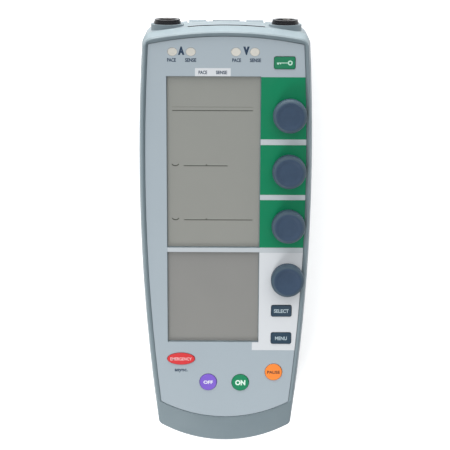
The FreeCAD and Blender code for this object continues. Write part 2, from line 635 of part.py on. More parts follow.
def draw_case(sketch, side="0", top="case_top", top_radius="case_top_radius",
              bottom="case_bottom", bottom_radius="case_bottom_radius",
              top_corner="top_corner", bottom_corner="bottom_corner"):
    """The case's outline: two bowed sides, a bowed top and bottom, and four tangent corners.

    The sides lie inside the case's own by the distance named side; top and bottom are the
    distances from the origin to the middles of the two ends.
    """
    half = f"(case_width / 2 - ({side}))"
    bow = f"(side_radius - ({side}))"
    numbers = [value(text) for text in (half, bow, "widest_y", top, top_radius,
                                        bottom, bottom_radius, top_corner, bottom_corner)]
    half_n, bow_n, wide_n, top_n, top_r, bottom_n, bottom_r, upper_n, lower_n = numbers
    right = Vector(half_n - bow_n, wide_n, 0)
    left = Vector(bow_n - half_n, wide_n, 0)
    upper = Vector(0, top_n - top_r, 0)
    lower = Vector(0, bottom_r - bottom_n, 0)
    upper_hub = crossing(right, bow_n - upper_n, upper, top_r - upper_n, 1, 1)
    lower_hub = crossing(right, bow_n - lower_n, lower, bottom_r - lower_n, 1, -1)
    upper_left = Vector(-upper_hub.x, upper_hub.y, 0)
    lower_left = Vector(-lower_hub.x, lower_hub.y, 0)

    def on(hub, towards, radius):
        unit = towards - hub
        unit.normalize()
        return hub + unit * radius

    joints = [on(right, lower_hub, bow_n), on(right, upper_hub, bow_n),
              on(upper, upper_hub, top_r), on(upper, upper_left, top_r),
              on(left, upper_left, bow_n), on(left, lower_left, bow_n),
              on(lower, lower_left, bottom_r), on(lower, lower_hub, bottom_r)]
    hubs = [(right, bow_n), (upper_hub, upper_n), (upper, top_r), (upper_left, upper_n),
            (left, bow_n), (lower_left, lower_n), (lower, bottom_r), (lower_hub, lower_n)]
    first = sketch.GeometryCount
    for i, (hub, radius) in enumerate(hubs):
        start = joints[i] - hub
        end = joints[(i + 1) % 8] - hub
        circle = Part.Circle(hub, Vector(0, 0, 1), radius)
        sketch.addGeometry(Part.ArcOfCircle(circle, math.atan2(start.y, start.x), math.atan2(end.y, end.x)))
    for i in range(8):
        sketch.addConstraint(Sketcher.Constraint("Tangent", first + i, 2, first + (i + 1) % 8, 1))
    radii = [bow, top_corner, top_radius, top_corner, bow, bottom_corner, bottom_radius, bottom_corner]
    for i, radius in enumerate(radii):
        dimension(sketch, "Radius", (first + i,), radius)
    dimension(sketch, "DistanceX", (first, 3, -1, 1), f"{bow} - {half}")
    dimension(sketch, "DistanceX", (-1, 1, first + 4, 3), f"{bow} - {half}")
    dimension(sketch, "DistanceY", (-1, 1, first, 3), "widest_y")
    dimension(sketch, "DistanceY", (-1, 1, first + 4, 3), "widest_y")
    dimension(sketch, "DistanceY", (-1, 1, first + 2, 3), f"({top}) - ({top_radius})")
    dimension(sketch, "DistanceY", (-1, 1, first + 6, 3), f"({bottom_radius}) - ({bottom})")
    sketch.addConstraint(Sketcher.Constraint("PointOnObject", first + 2, 3, -2))
    sketch.addConstraint(Sketcher.Constraint("PointOnObject", first + 6, 3, -2))


def draw_inset(sketch, inset):
    """The case's outline at an even distance inside its own edge."""
    draw_case(sketch, inset, f"case_top - ({inset})", f"case_top_radius - ({inset})",
              f"case_bottom - ({inset})", f"case_bottom_radius - ({inset})",
              f"top_corner - ({inset})", f"max(bottom_corner - ({inset}); least_corner)")


def draw_overlay(sketch, side="0", top="0", bottom="0"):
    """The overlay's outline, grown by the distances named side, top and bottom."""
    draw_case(sketch, f"overlay_inset - ({side})",
              f"{OVERLAY_TOP} + ({top})", f"overlay_top_radius + ({top})",
              f"{OVERLAY_BOTTOM} + ({bottom})", f"overlay_bottom_radius + ({bottom})",
              f"overlay_corner + ({side})", f"overlay_corner + ({side})")


def on_rim(sketch, drop="0"):
    """Lay a sketch in the rim's plane, which falls from the brow to the chin, or below it."""
    sketch.AttachmentOffset = Placement(Vector(), Rotation(Vector(1, 0, 0), 1))
    tie(sketch, AttachmentOffset__Base__z=f"{RIM_LEVEL} - ({drop})",
        AttachmentOffset__Rotation__Angle=f"atan({RIM_SLOPE})")


def draw_key(sketch, key, grow="0"):
    """The outline of one key, grown all round."""
    form, x, y = KEYS[key]
    if form == "small":
        draw_rounded(sketch, x, y, f"small_key_width + 2 * ({grow})", f"small_key_height + 2 * ({grow})",
                     f"small_key_corner + ({grow})")
    elif form == "round":
        draw_circle(sketch, x, y, f"round_key_radius + ({grow})")
    else:
        draw_oval(sketch, x, y, f"emergency_key_length + 2 * ({grow})", f"emergency_key_width + 2 * ({grow})")


def draw_panel_holes(sketch):
    """Holes that the overlay and the front shell share: keys, lights and encoder necks."""
    for key in KEYS:
        draw_key(sketch, key, "key_fit")
    for x in LIGHTS.values():
        draw_oval(sketch, x, LIGHT_Y, "light_length + 2 * light_fit", "light_width + 2 * light_fit")
    for number in range(len(KNOBS)):
        draw_circle(sketch, KNOB_X, knob_y(number), "bushing_radius + bushing_fit")


def draw_windows(sketch, grow):
    """The outlines of both windows, grown all round."""
    for low, high in WINDOWS.values():
        draw_rectangle(sketch, f"{WINDOW_LEFT} - ({grow})", f"{low} - ({grow})",
                       f"{WINDOW_WIDTH} + 2 * ({grow})", f"{high} - {low} + 2 * ({grow})")


def both_sides(pairs):
    """The places of screws or posts on the left and the right, as (x, y) formulas."""
    return [(f"{side} * {x}", y) for x, y in pairs for side in (-1, 1)]


# Case shells


def make_front_case():
    """Front shell: leaning sides, a brow, a sloping chin and a recess for the overlay."""
    body = new_body("front_case")
    band = new_sketch(body, "front_band_outline", FRONT_BASE)
    draw_inset(band, "0")
    extrude(body, "front_band_pad", "Pad", band, "front_band")
    shoulder = new_sketch(body, "front_shoulder_outline", BAND_TOP)
    draw_inset(shoulder, "0")
    edge = new_sketch(body, "front_edge_outline")
    draw_case(edge, "rim_draft", RIM_TOP_Y, "case_top_radius - brow_inset", RIM_BOTTOM_Y,
              "overlay_bottom_radius", "top_corner - rim_draft", "bottom_corner - rim_draft")
    on_rim(edge, "rim_bevel")
    loft(body, "front_shoulder", "Additive", shoulder, edge)
    rim = new_sketch(body, "front_rim_outline")
    draw_case(rim, "rim_draft + rim_bevel", f"{RIM_TOP_Y} - rim_bevel", "case_top_radius - brow_inset",
              f"{RIM_BOTTOM_Y} - chin_bevel", "overlay_bottom_radius",
              "top_corner - rim_draft", "bottom_corner - rim_draft")
    on_rim(rim)
    loft(body, "front_rim", "Additive", edge, rim)

    step = new_sketch(body, "recess_step_outline", "panel_height")
    draw_overlay(step, "overlay_gap", "overlay_gap", "overlay_gap")
    mouth = new_sketch(body, "recess_mouth_outline")
    draw_overlay(mouth, "overlay_gap + slope_side", "overlay_gap + slope_top", "overlay_gap + slope_bottom")
    on_rim(mouth)
    loft(body, "recess_slope", "Subtractive", step, mouth)
    seat = new_sketch(body, "overlay_seat_outline", "panel_height")
    draw_overlay(seat, "overlay_gap", "overlay_gap", "overlay_gap")
    extrude(body, "overlay_seat", "Pocket", seat, "overlay_thickness", along=False)

    mouth = new_sketch(body, "front_cavity_mouth", FRONT_BASE)
    draw_inset(mouth, "wall")
    roof = new_sketch(body, "front_cavity_roof", PANEL_UNDER)
    draw_case(roof, "wall + rim_draft", "case_top - wall - brow_inset", "case_top_radius - wall - brow_inset",
              "case_bottom - wall - chin_length", "case_bottom_radius - wall",
              "top_corner - wall", "least_corner")
    loft(body, "front_cavity", "Subtractive", mouth, roof)

    bosses = new_sketch(body, "front_bosses_outline", "rear_height")
    for x, y in both_sides(CASE_SCREWS):
        draw_circle(bosses, x, y, "boss_radius")
    extrude(body, "front_bosses", "Pad", bosses, f"{PANEL_SEAT} - rear_height - 0.5 * front_wall")
    posts = new_sketch(body, "front_posts_outline", BOARD_TOP)
    for x, y in both_sides(CONTROL_POSTS):
        draw_circle(posts, x, y, "post_radius")
    extrude(body, "front_posts", "Pad", posts, f"{PANEL_SEAT} - {BOARD_TOP} - 0.5 * front_wall")

    ledge = new_sketch(body, "window_ledge_outline", PANEL_SEAT)
    draw_windows(ledge, "window_fit")
    extrude(body, "window_ledges", "Pocket", ledge, "window_sink + window_thickness - overlay_thickness",
            along=False)
    opening = new_sketch(body, "window_opening_outline", PANEL_SEAT)
    draw_windows(opening, "-window_ledge")
    extrude(body, "window_openings", "Pocket", opening, "2 * front_wall", along=False)
    holes = new_sketch(body, "panel_holes_outline", PANEL_SEAT)
    draw_panel_holes(holes)
    extrude(body, "panel_holes", "Pocket", holes, "2 * front_wall", along=False)
    screws = new_sketch(body, "front_screw_holes_outline", "rear_height")
    for x, y in both_sides(CASE_SCREWS):
        draw_circle(screws, x, y, "screw_radius + screw_hole_fit")
    extrude(body, "front_screw_holes", "Pocket", screws, f"{SCREW_END} - rear_height + screw_hole_fit")
    tapped = new_sketch(body, "front_post_holes_outline", BOARD_TOP)
    for x, y in both_sides(CONTROL_POSTS):
        draw_circle(tapped, x, y, "board_screw_radius + screw_hole_fit")
    extrude(body, "front_post_holes", "Pocket", tapped,
            "board_screw_length - board_thickness + screw_hole_fit")
    keep("front_case", body)


def make_rear_case():
    """Rear shell: tray with bosses, socket bosses, battery bay and the hanger's recess."""
    body = new_body("rear_case")
    outline = new_sketch(body, "rear_outline")
    draw_inset(outline, "0")
    extrude(body, "rear_pad", "Pad", outline, "rear_height")
    soften(body, "back_rounding", "Fillet", "back_round", lambda point: abs(point.z) < 0.01)
    cavity = new_sketch(body, "rear_cavity_outline", "rear_height")
    draw_inset(cavity, "wall")
    extrude(body, "rear_cavity", "Pocket", cavity, "rear_height - wall", along=False)

    bay = new_sketch(body, "bay_outline", "0.5 * wall")
    edge_sag = f"(case_bottom_radius - sqrt(case_bottom_radius ^ 2 - {BAY_OUTER} ^ 2))"
    bay_front = f"({edge_sag} + 0.5 * wall - case_bottom)"
    draw_rectangle(bay, f"-{BAY_OUTER}", bay_front, f"2 * {BAY_OUTER}", f"{BAY_END} + bay_wall - {bay_front}")
    extrude(body, "bay_block", "Pad", bay, f"{BAY_TOP} - 0.5 * wall")
    seat = new_sketch(body, "spring_seat_outline", "0.5 * wall")
    draw_rectangle(seat, f"{SEAT_RIB_X} - spring_seat",
                   f"{RELEASE_Y} - release_length / 2 + spring_seat_inset",
                   "spring_seat", "release_length - 2 * spring_seat_inset")
    extrude(body, "spring_seat", "Pad", seat,
            "release_z + release_height / 2 + spring_seat_rise - 0.5 * wall")
    bosses = new_sketch(body, "rear_bosses_outline", "0.5 * wall")
    for x, y in both_sides(CASE_SCREWS):
        draw_circle(bosses, x, y, "boss_radius")
    extrude(body, "rear_bosses", "Pad", bosses, "rear_height - 0.5 * wall")
    posts = new_sketch(body, "rear_posts_outline", "0.5 * wall")
    for x, y in both_sides(MAIN_POSTS):
        draw_circle(posts, x, y, "post_radius")
    extrude(body, "rear_posts", "Pad", posts, f"{MAIN_BASE} - 0.5 * wall")
    liner = new_sketch(body, "hanger_liner_outline", "0.5 * wall")
    draw_rounded(liner, "0", f"{HANGER_MIDDLE} - finger_length / 2",
                 "2 * (hanger_half + hanger_room + liner)",
                 "hanger_length + finger_length + 2 * (hanger_room + liner)",
                 "hanger_corner + hanger_room + liner")
    extrude(body, "hanger_liner", "Pad", liner, f"{RECESS_DEPTH} + liner - 0.5 * wall")
    hinge_low = f"({HINGE_Y} - knuckle_radius - hinge_room)"
    hinge_high = "(hinge_height + knuckle_radius + hinge_room)"
    notch_half = "(lug_outer + 2 * hinge_room)"
    hood = new_sketch(body, "hinge_hood_outline", "0.5 * wall")
    draw_rectangle(hood, f"-{notch_half} - liner", f"{hinge_low} - liner", f"2 * ({notch_half} + liner)",
                   f"case_top - wall - {hinge_low} + liner")
    extrude(body, "hinge_hood", "Pad", hood, f"{hinge_high} + liner - 0.5 * wall")
    socket_bosses = new_sketch(body, "socket_bosses_outline", f"-{BOSS_END}", "XZ_Plane")
    for side in SOCKETS.values():
        draw_circle(socket_bosses, f"{side} * {SOCKET_X}", SOCKET_Z, "boss_outer")
    extrude(body, "socket_bosses", "Pad", socket_bosses, "boss_depth")

    groove = new_sketch(body, "gasket_groove_outline", "rear_height")
    draw_inset(groove, "gasket_inset")
    draw_inset(groove, "gasket_inset + gasket_width")
    extrude(body, "gasket_groove", "Pocket", groove, "gasket_depth", along=False)
    bores = new_sketch(body, "socket_bores_outline", f"-{BOSS_END}", "XZ_Plane")
    for side in SOCKETS.values():
        draw_circle(bores, f"{side} * {SOCKET_X}", SOCKET_Z, "socket_barrel + socket_barrel_fit")
    extrude(body, "socket_bores", "Pocket", bores, "boss_depth + wall")
    bay_mouth = new_sketch(body, "bay_mouth_outline", BAY_TOP)
    draw_rectangle(bay_mouth, f"-{BAY_HALF}", "-case_bottom - wall", f"2 * {BAY_HALF}",
                   f"case_bottom + wall + {BAY_END}")
    extrude(body, "bay_mouth", "Pocket", bay_mouth, f"{BAY_TOP} - bay_floor", along=False)
    slot = new_sketch(body, "latch_slot_outline", f"{BAY_HALF} - 0.5 * bay_wall", "YZ_Plane")
    draw_rectangle(slot, f"{RELEASE_Y} - release_bar_width / 2 - release_fit",
                   "release_z - release_bar_height / 2 - release_fit",
                   "release_bar_width + 2 * release_fit", "release_bar_height + 2 * release_fit")
    extrude(body, "latch_slot", "Pocket", slot, f"{SEAT_RIB_X} - {BAY_HALF} + bay_wall")
    button_hole = new_sketch(body, "release_hole_outline", RELEASE_FLANGE_X, "YZ_Plane")
    draw_rounded(button_hole, RELEASE_Y, "release_z", "release_length + 2 * release_fit",
                 "release_height + 2 * release_fit", "release_corner + release_fit")
    extrude(body, "release_hole", "Pocket", button_hole, "3 * wall")

    recess = new_sketch(body, "hanger_recess_outline")
    draw_rounded(recess, "0", HANGER_MIDDLE, "2 * (hanger_half + hanger_room)",
                 "hanger_length + 2 * hanger_room", "hanger_corner + hanger_room")
    extrude(body, "hanger_recess", "Pocket", recess, RECESS_DEPTH)
    scoop = new_sketch(body, "finger_scoop_outline")
    draw_rounded(scoop, "0", HANGER_BOTTOM, "2 * finger_half", "2 * finger_length", "finger_corner")
    extrude(body, "finger_scoop", "Pocket", scoop, RECESS_DEPTH)
    shoulder = new_sketch(body, "shoulder_recess_outline")
    draw_rectangle(shoulder, "-hanger_half - hanger_room", f"{HANGER_TOP} - hanger_corner",
                   "2 * (hanger_half + hanger_room)", "hanger_drop + hanger_corner")
    extrude(body, "shoulder_recess", "Pocket", shoulder, RECESS_DEPTH)
    notch = new_sketch(body, "hinge_notch_outline")
    draw_rectangle(notch, f"-{notch_half}", hinge_low, f"2 * {notch_half}", f"case_top + wall - {hinge_low}")
    extrude(body, "hinge_notch", "Pocket", notch, hinge_high)
    for side, start in (("left", "-lug_outer"), ("right", "lug_inner")):
        lug = new_sketch(body, f"{side}_lug_outline", start, "YZ_Plane")
        draw_circle(lug, HINGE_Y, "hinge_height", "knuckle_radius")
        extrude(body, f"{side}_lug", "Pad", lug, "lug_outer - lug_inner")
        web = new_sketch(body, f"{side}_lug_web_outline", start, "YZ_Plane")
        draw_rectangle(web, f"{HINGE_Y} - lug_web", "hinge_height", "2 * lug_web",
                       "knuckle_radius + hinge_room + 0.5 * liner")
        extrude(body, f"{side}_lug_web", "Pad", web, "lug_outer - lug_inner")
    pin_hole = new_sketch(body, "pin_hole_outline", "-lug_outer", "YZ_Plane")
    draw_circle(pin_hole, HINGE_Y, "hinge_height", "pin_radius + pin_fit")
    extrude(body, "pin_hole", "Pocket", pin_hole, "2 * lug_outer")

    heads = new_sketch(body, "screw_wells_outline")
    for x, y in both_sides(CASE_SCREWS):
        draw_circle(heads, x, y, "screw_head_radius + screw_head_fit")
    extrude(body, "screw_wells", "Pocket", heads, "screw_seat")
    shanks = new_sketch(body, "rear_screw_holes_outline")
    for x, y in both_sides(CASE_SCREWS):
        draw_circle(shanks, x, y, "screw_radius + screw_hole_fit")
    extrude(body, "rear_screw_holes", "Pocket", shanks, "rear_height")
    tapped = new_sketch(body, "rear_post_holes_outline", MAIN_BASE)
    for x, y in both_sides(MAIN_POSTS):
        draw_circle(tapped, x, y, "board_screw_radius + screw_hole_fit")
    extrude(body, "rear_post_holes", "Pocket", tapped,
            "board_screw_length - board_thickness + screw_hole_fit", along=False)
    keep("rear_case", body)


def make_gasket():
    """Sealing cord that fills the groove and the seam."""
    body = new_body("case_gasket")
    ring = new_sketch(body, "gasket_outline", "rear_height - gasket_depth")
    draw_inset(ring, "gasket_inset + gasket_fit")
    draw_inset(ring, "gasket_inset + gasket_width - gasket_fit")
    extrude(body, "gasket_ring", "Pad", ring, "gasket_depth + seam_gap")
    keep("case_gasket", body)


def make_overlay():
    """Printed sheet on the control panel, cut out for windows, keys, lights and dials."""
    body = new_body("control_overlay")
    sheet_outline = new_sketch(body, "overlay_outline", PANEL_SEAT)
    draw_overlay(sheet_outline)
    extrude(body, "overlay_sheet", "Pad", sheet_outline, "overlay_thickness")
    windows = new_sketch(body, "overlay_windows_outline", "panel_height")
    draw_windows(windows, "window_fit")
    extrude(body, "overlay_windows", "Pocket", windows, "2 * overlay_thickness", along=False)
    holes = new_sketch(body, "overlay_holes_outline", "panel_height")
    draw_panel_holes(holes)
    extrude(body, "overlay_holes", "Pocket", holes, "2 * overlay_thickness", along=False)
    keep("control_overlay", body)


# Displays


def make_displays():
    """Clear windows, display glass, light guides and the frame that holds them."""
    glass_left = f"({WINDOW_LEFT} - display_margin)"
    glass_width = f"({WINDOW_WIDTH} + 2 * display_margin)"
    spans = {
        "upper": ("(window_split + display_spacing / 2)", f"({WINDOWS['upper'][1]} + display_margin)"),
        "lower": (f"({WINDOWS['lower'][0]} - display_margin)", "(window_split - display_spacing / 2)"),
    }
    glass_base = f"({DISPLAY_TOP} - display_thickness)"
    guide_base = f"({BOARD_TOP} + backlight_floor)"
    for name, (low, high) in spans.items():
        edge, top_edge = WINDOWS[name]
        keep(f"{name}_window", block(
            f"{name}_window", WINDOW_LEFT, edge, "panel_height - window_sink - window_thickness",
            WINDOW_WIDTH, f"{top_edge} - {edge}", "window_thickness"))
        keep(f"{name}_display", block(
            f"{name}_display", glass_left, low, glass_base, glass_width, f"{high} - {low}",
            "display_thickness"))
        keep(f"{name}_backlight", block(
            f"{name}_backlight", glass_left, low, guide_base, glass_width, f"{high} - {low}",
            f"{glass_base} - {guide_base}"))
    low = spans["lower"][0]
    high = spans["upper"][1]
    outer = block("display_frame_outer", f"{glass_left} - window_fit - display_frame_wall",
                  f"{low} - window_fit - display_frame_wall", BOARD_TOP,
                  f"{glass_width} + 2 * (window_fit + display_frame_wall)",
                  f"{high} - {low} + 2 * (window_fit + display_frame_wall)", f"{DISPLAY_TOP} - {BOARD_TOP}")
    inner = block("display_frame_inner", f"{glass_left} - window_fit", f"{low} - window_fit", guide_base,
                  f"{glass_width} + 2 * window_fit", f"{high} - {low} + 2 * window_fit",
                  f"{DISPLAY_TOP} - {BOARD_TOP}")
    keep("display_frame", cut("display_frame", outer, inner))


# Dials


def make_dial(name, number):
    """One dial, the shaft it is pressed on and the encoder that reads it."""
    top = f"({KNOB_BASE} + knob_height)"
    shaft_end = f"({top} - dial_cap)"
    shaft_base = f"({BOARD_TOP} + shaft_seat)"
    at = (KNOB_X, knob_y(number))

    body = new_body(f"{name}_knob_turned")
    profile = new_sketch(body, f"{name}_knob_profile", "0", "XZ_Plane")
    hollow = "(knob_radius - knob_skirt)"
    draw_polygon(profile, [
        ("shaft_radius + shaft_fit", f"{KNOB_BASE} + knob_hollow"), (hollow, f"{KNOB_BASE} + knob_hollow"),
        (hollow, KNOB_BASE), ("knob_radius", KNOB_BASE), ("knob_radius", top),
        ("knob_dish_radius", top), ("knob_dish_radius - knob_dish", f"{top} - knob_dish"),
        ("0", f"{top} - knob_dish"), ("0", shaft_end), ("shaft_radius + shaft_fit", shaft_end)])
    revolve(body, f"{name}_knob_solid", "Revolution", profile)
    edge = (value("knob_radius"), value(top))
    soften(body, f"{name}_knob_edge", "Fillet", "knob_round",
           lambda point: math.dist((math.hypot(point.x, point.y), point.z), edge) < 0.01)
    place(body, *at)
    key = block(f"{name}_knob_key", f"{KNOB_X} + shaft_flat + shaft_fit", f"{at[1]} - shaft_radius",
                f"{KNOB_BASE} + knob_hollow", "shaft_radius - shaft_flat", "2 * shaft_radius",
                f"{shaft_end} - {KNOB_BASE} - knob_hollow")
    keep(f"{name}_knob", join(f"{name}_knob", [body, key]))

    bar = rod(f"{name}_shaft_bar", *at, shaft_base, "shaft_radius", f"{shaft_end} - {shaft_base}")
    flat = block(f"{name}_shaft_flat", f"{KNOB_X} + shaft_flat", f"{at[1]} - 2 * shaft_radius",
                 f"{KNOB_BASE} + knob_hollow - 2 * shaft_fit", "shaft_radius", "4 * shaft_radius",
                 f"{shaft_end} - {KNOB_BASE}")
    keep(f"{name}_shaft", cut(f"{name}_shaft", bar, flat))

    housing = block(f"{name}_encoder_housing", f"{KNOB_X} - encoder_width / 2",
                    f"{at[1]} - encoder_width / 2", BOARD_TOP, "encoder_width", "encoder_width",
                    f"{DISPLAY_TOP} - {BOARD_TOP}")
    neck = rod(f"{name}_encoder_neck", *at, BOARD_TOP, "bushing_radius",
               f"panel_height + bushing_rise - {BOARD_TOP}")
    hole = rod(f"{name}_encoder_hole", *at, f"{shaft_base} - shaft_fit", "shaft_radius + shaft_fit",
               "panel_height")
    keep(f"{name}_encoder", cut(f"{name}_encoder", join(f"{name}_encoder_solid", [housing, neck]), hole))


# Keys and lights


def make_key(name):
    """One key: a cap through the overlay and a flange that keeps it in."""
    body = new_body(f"{name}_key")
    flange = new_sketch(body, f"{name}_key_flange_outline", KEY_BASE)
    draw_key(flange, name, "key_flange")
    extrude(body, f"{name}_key_flange", "Pad", flange, "key_flange_height")
    cap = new_sketch(body, f"{name}_key_cap_outline", KEY_BASE)
    draw_key(cap, name)
    extrude(body, f"{name}_key_cap", "Pad", cap, f"panel_height + key_proud - {KEY_BASE}")
    top = value("panel_height + key_proud")
    soften(body, f"{name}_key_edge", "Chamfer", "key_edge", lambda point: abs(point.z - top) < 0.01)
    keep(f"{name}_key", body)


def make_switches():
    """One switch on the control board under each key."""
    solids = []
    for key, (_, x, y) in KEYS.items():
        base = block(f"{key}_switch_base", f"{x} - switch_width / 2", f"{y} - switch_width / 2", BOARD_TOP,
                     "switch_width", "switch_width", f"{SWITCH_TOP} - switch_stem_height - {BOARD_TOP}")
        stem = rod(f"{key}_switch_stem", x, y, BOARD_TOP, "switch_stem_radius", f"{SWITCH_TOP} - {BOARD_TOP}")
        solids.append(join(f"{key}_switch", [base, stem]))
    keep("key_switches", join("key_switches", solids))


def make_lights():
    """Oval light pipes flush with the overlay, and the light sources under them."""
    sources = []
    for name, x in LIGHTS.items():
        body = new_body(f"{name}_light")
        foot = new_sketch(body, f"{name}_light_foot_outline", f"{BOARD_TOP} + led_height")
        draw_oval(foot, x, LIGHT_Y, "light_length + 2 * light_lip", "light_width + 2 * light_lip")
        extrude(body, f"{name}_light_foot", "Pad", foot, f"{PANEL_UNDER} - {BOARD_TOP} - led_height")
        pipe = new_sketch(body, f"{name}_light_outline", PANEL_UNDER)
        draw_oval(pipe, x, LIGHT_Y, "light_length", "light_width")
        extrude(body, f"{name}_light_pipe", "Pad", pipe, f"panel_height - {PANEL_UNDER}")
        keep(f"{name}_light", body)
        sources.append(block(f"{name}_led", f"{x} - led_size / 2", f"{LIGHT_Y} - led_size / 2",
                             BOARD_TOP, "led_size", "led_size", "led_height"))
    keep("indicator_leds", join("indicator_leds", sources))


# Boards and what they carry


def make_control_board():
    """Upper board, cut back round the screw bosses."""
    body = new_body("control_board")
    outline = new_sketch(body, "control_board_outline", CONTROL_BASE)
    draw_case(outline, "control_board_inset", "case_top - control_board_drop", "side_radius",
              "case_bottom - control_board_rise", "case_bottom_radius",
              "0.5 * bottom_corner", "0.5 * bottom_corner")
    extrude(body, "control_board_sheet", "Pad", outline, "board_thickness")
    notches = new_sketch(body, "control_board_notches_outline", CONTROL_BASE)
    for x, y in both_sides(CASE_SCREWS):
        draw_circle(notches, x, y, "boss_radius + boss_clearance")
    extrude(body, "control_board_notches", "Pocket", notches, "board_thickness")
    holes = new_sketch(body, "control_board_holes_outline", CONTROL_BASE)
    for x, y in both_sides(CONTROL_POSTS):
        draw_circle(holes, x, y, "board_screw_radius + screw_hole_fit")
    extrude(body, "control_board_holes", "Pocket", holes, "board_thickness")
    keep("control_board", body)


def make_main_board():
    """Lower board between the sockets and the battery bay."""
    body = new_body("main_board")
    outline = new_sketch(body, "main_board_outline", MAIN_BASE)
    half = f"({SIDE} - main_board_side)"
    draw_rectangle(outline, f"-{half}", MAIN_LOW_Y, f"2 * {half}", f"{MAIN_TOP_Y} - {MAIN_LOW_Y}")
    extrude(body, "main_board_sheet", "Pad", outline, "board_thickness")
    holes = new_sketch(body, "main_board_holes_outline", MAIN_BASE)
    for x, y in both_sides(MAIN_POSTS):
        draw_circle(holes, x, y, "board_screw_radius + screw_hole_fit")
    extrude(body, "main_board_holes", "Pocket", holes, "board_thickness")
    keep("main_board", body)

    keep("board_link", block("board_link", "-link_length / 2", "link_rise - link_width / 2", MAIN_TOP,
                             "link_length", "link_width", f"{CONTROL_BASE} - {MAIN_TOP}"))
    keep("sounder", rod("sounder", "0", f"{MAIN_TOP_Y} - sounder_drop", MAIN_TOP, "sounder_radius",
                        "sounder_height"))
    transformers = [block(f"{name}_transformer",
                          f"{side} * ({SIDE} - transformer_side) - transformer_size / 2",
                          f"{MAIN_TOP_Y} - transformer_drop - transformer_size / 2",
                          f"{MAIN_BASE} - transformer_height",
                          "transformer_size", "transformer_size", "transformer_height")
                    for name, side in SOCKETS.items()]
    keep("output_transformers", join("output_transformers", transformers))
    cans = [rod(f"can_{number}", f"({number} - 1) * can_pitch", f"{MAIN_LOW_Y} + can_rise",
                f"{MAIN_BASE} - can_height", "can_radius", "can_height") for number in range(3)]
    keep("storage_capacitors", join("storage_capacitors", cans))


def make_screws():
    """Six case screws from the back, and the screws that hold both boards."""
    case = []
    for number, (x, y) in enumerate(both_sides(CASE_SCREWS)):
        head = rod(f"case_screw_head_{number}", x, y, SCREW_HEAD_BASE, "screw_head_radius",
                   "screw_head_height")
        shank = rod(f"case_screw_shank_{number}", x, y, SCREW_HEAD_BASE, "screw_radius",
                    f"{SCREW_END} - {SCREW_HEAD_BASE}")
        case.append(join(f"case_screw_{number}", [head, shank]))
    keep("case_screws", join("case_screws", case))
    small = []
    for number, (x, y) in enumerate(both_sides(CONTROL_POSTS)):
        head = rod(f"control_screw_head_{number}", x, y, f"{CONTROL_BASE} - board_screw_head_height",
                   "board_screw_head", "board_screw_head_height")
        shank = rod(f"control_screw_shank_{number}", x, y, f"{CONTROL_BASE} - board_screw_head_height",
                    "board_screw_radius", "board_screw_length + board_screw_head_height")
        small.append(join(f"control_screw_{number}", [head, shank]))
    for number, (x, y) in enumerate(both_sides(MAIN_POSTS)):
        head = rod(f"main_screw_head_{number}", x, y, MAIN_TOP, "board_screw_head", "board_screw_head_height")
        shank = rod(f"main_screw_shank_{number}", x, y, f"{MAIN_TOP} - board_screw_length",
                    "board_screw_radius", "board_screw_length + board_screw_head_height")
        small.append(join(f"main_screw_{number}", [head, shank]))
    keep("board_screws", join("board_screws", small))


# Lead sockets


def make_socket(name, side):
    """One lead socket: a flanged barrel, its contacts and the ring nut that holds it."""
    towards_top = Rotation(Vector(1, 0, 0), -90)
    body = new_body(f"{name}_socket_barrel")
    profile = new_sketch(body, f"{name}_socket_profile", "0", "XZ_Plane")
    draw_polygon(profile, [
        ("0", "-socket_length"), ("socket_barrel", "-socket_length"),
        ("socket_barrel", "-socket_proud"), ("socket_flange_radius", "-socket_proud"),
        ("socket_flange_radius", "socket_flange - socket_proud"),
        ("socket_rim_radius", "socket_flange - socket_proud"), ("socket_rim_radius", "0"),
        ("socket_bore + socket_lead_in", "0"), ("socket_bore", "-socket_lead_in"),
        ("socket_bore", "-socket_bore_depth"), ("0", "-socket_bore_depth")])
    revolve(body, f"{name}_socket_turned", "Revolution", profile)
    contact_holes = new_sketch(body, f"{name}_contact_holes_outline", "-socket_length")
    for end in (-1, 1):
        draw_circle(contact_holes, f"{end} * contact_spacing / 2", "0", "contact_radius")
    extrude(body, f"{name}_contact_holes", "Pocket", contact_holes, "socket_length - socket_bore_depth")
    body.Placement = Placement(Vector(), towards_top)
    place(body, f"{side} * {SOCKET_X}", SOCKET_RIM, SOCKET_Z)
    keep(f"{name}_socket", body)

    along = (Vector(1, 0, 0), -90)
    inner_end = f"({SOCKET_RIM} - socket_length)"
    sleeves = []
    for end in (-1, 1):
        x = f"{side} * {SOCKET_X} + {end} * contact_spacing / 2"
        outer = rod(f"{name}_contact_{end + 1}", x, f"{inner_end} - contact_tail", SOCKET_Z, "contact_radius",
                    "socket_length - socket_bore_depth + contact_tail", along)
        hole = rod(f"{name}_contact_hole_{end + 1}", x, inner_end, SOCKET_Z, "contact_hole",
                   "socket_length", along)
        sleeves.append(cut(f"{name}_sleeve_{end + 1}", outer, hole))
    keep(f"{name}_contacts", join(f"{name}_contacts", sleeves))

    nut_base = f"({BOSS_END} - boss_depth - nut_height)"
    ring = rod(f"{name}_nut_ring", f"{side} * {SOCKET_X}", nut_base, SOCKET_Z, "nut_radius",
               "nut_height", along)
    hole = rod(f"{name}_nut_hole", f"{side} * {SOCKET_X}", f"{nut_base} - nut_height", SOCKET_Z,
               "socket_barrel", "3 * nut_height", along)
    keep(f"{name}_socket_nut", cut(f"{name}_socket_nut", ring, hole))


# Battery, drawer and release


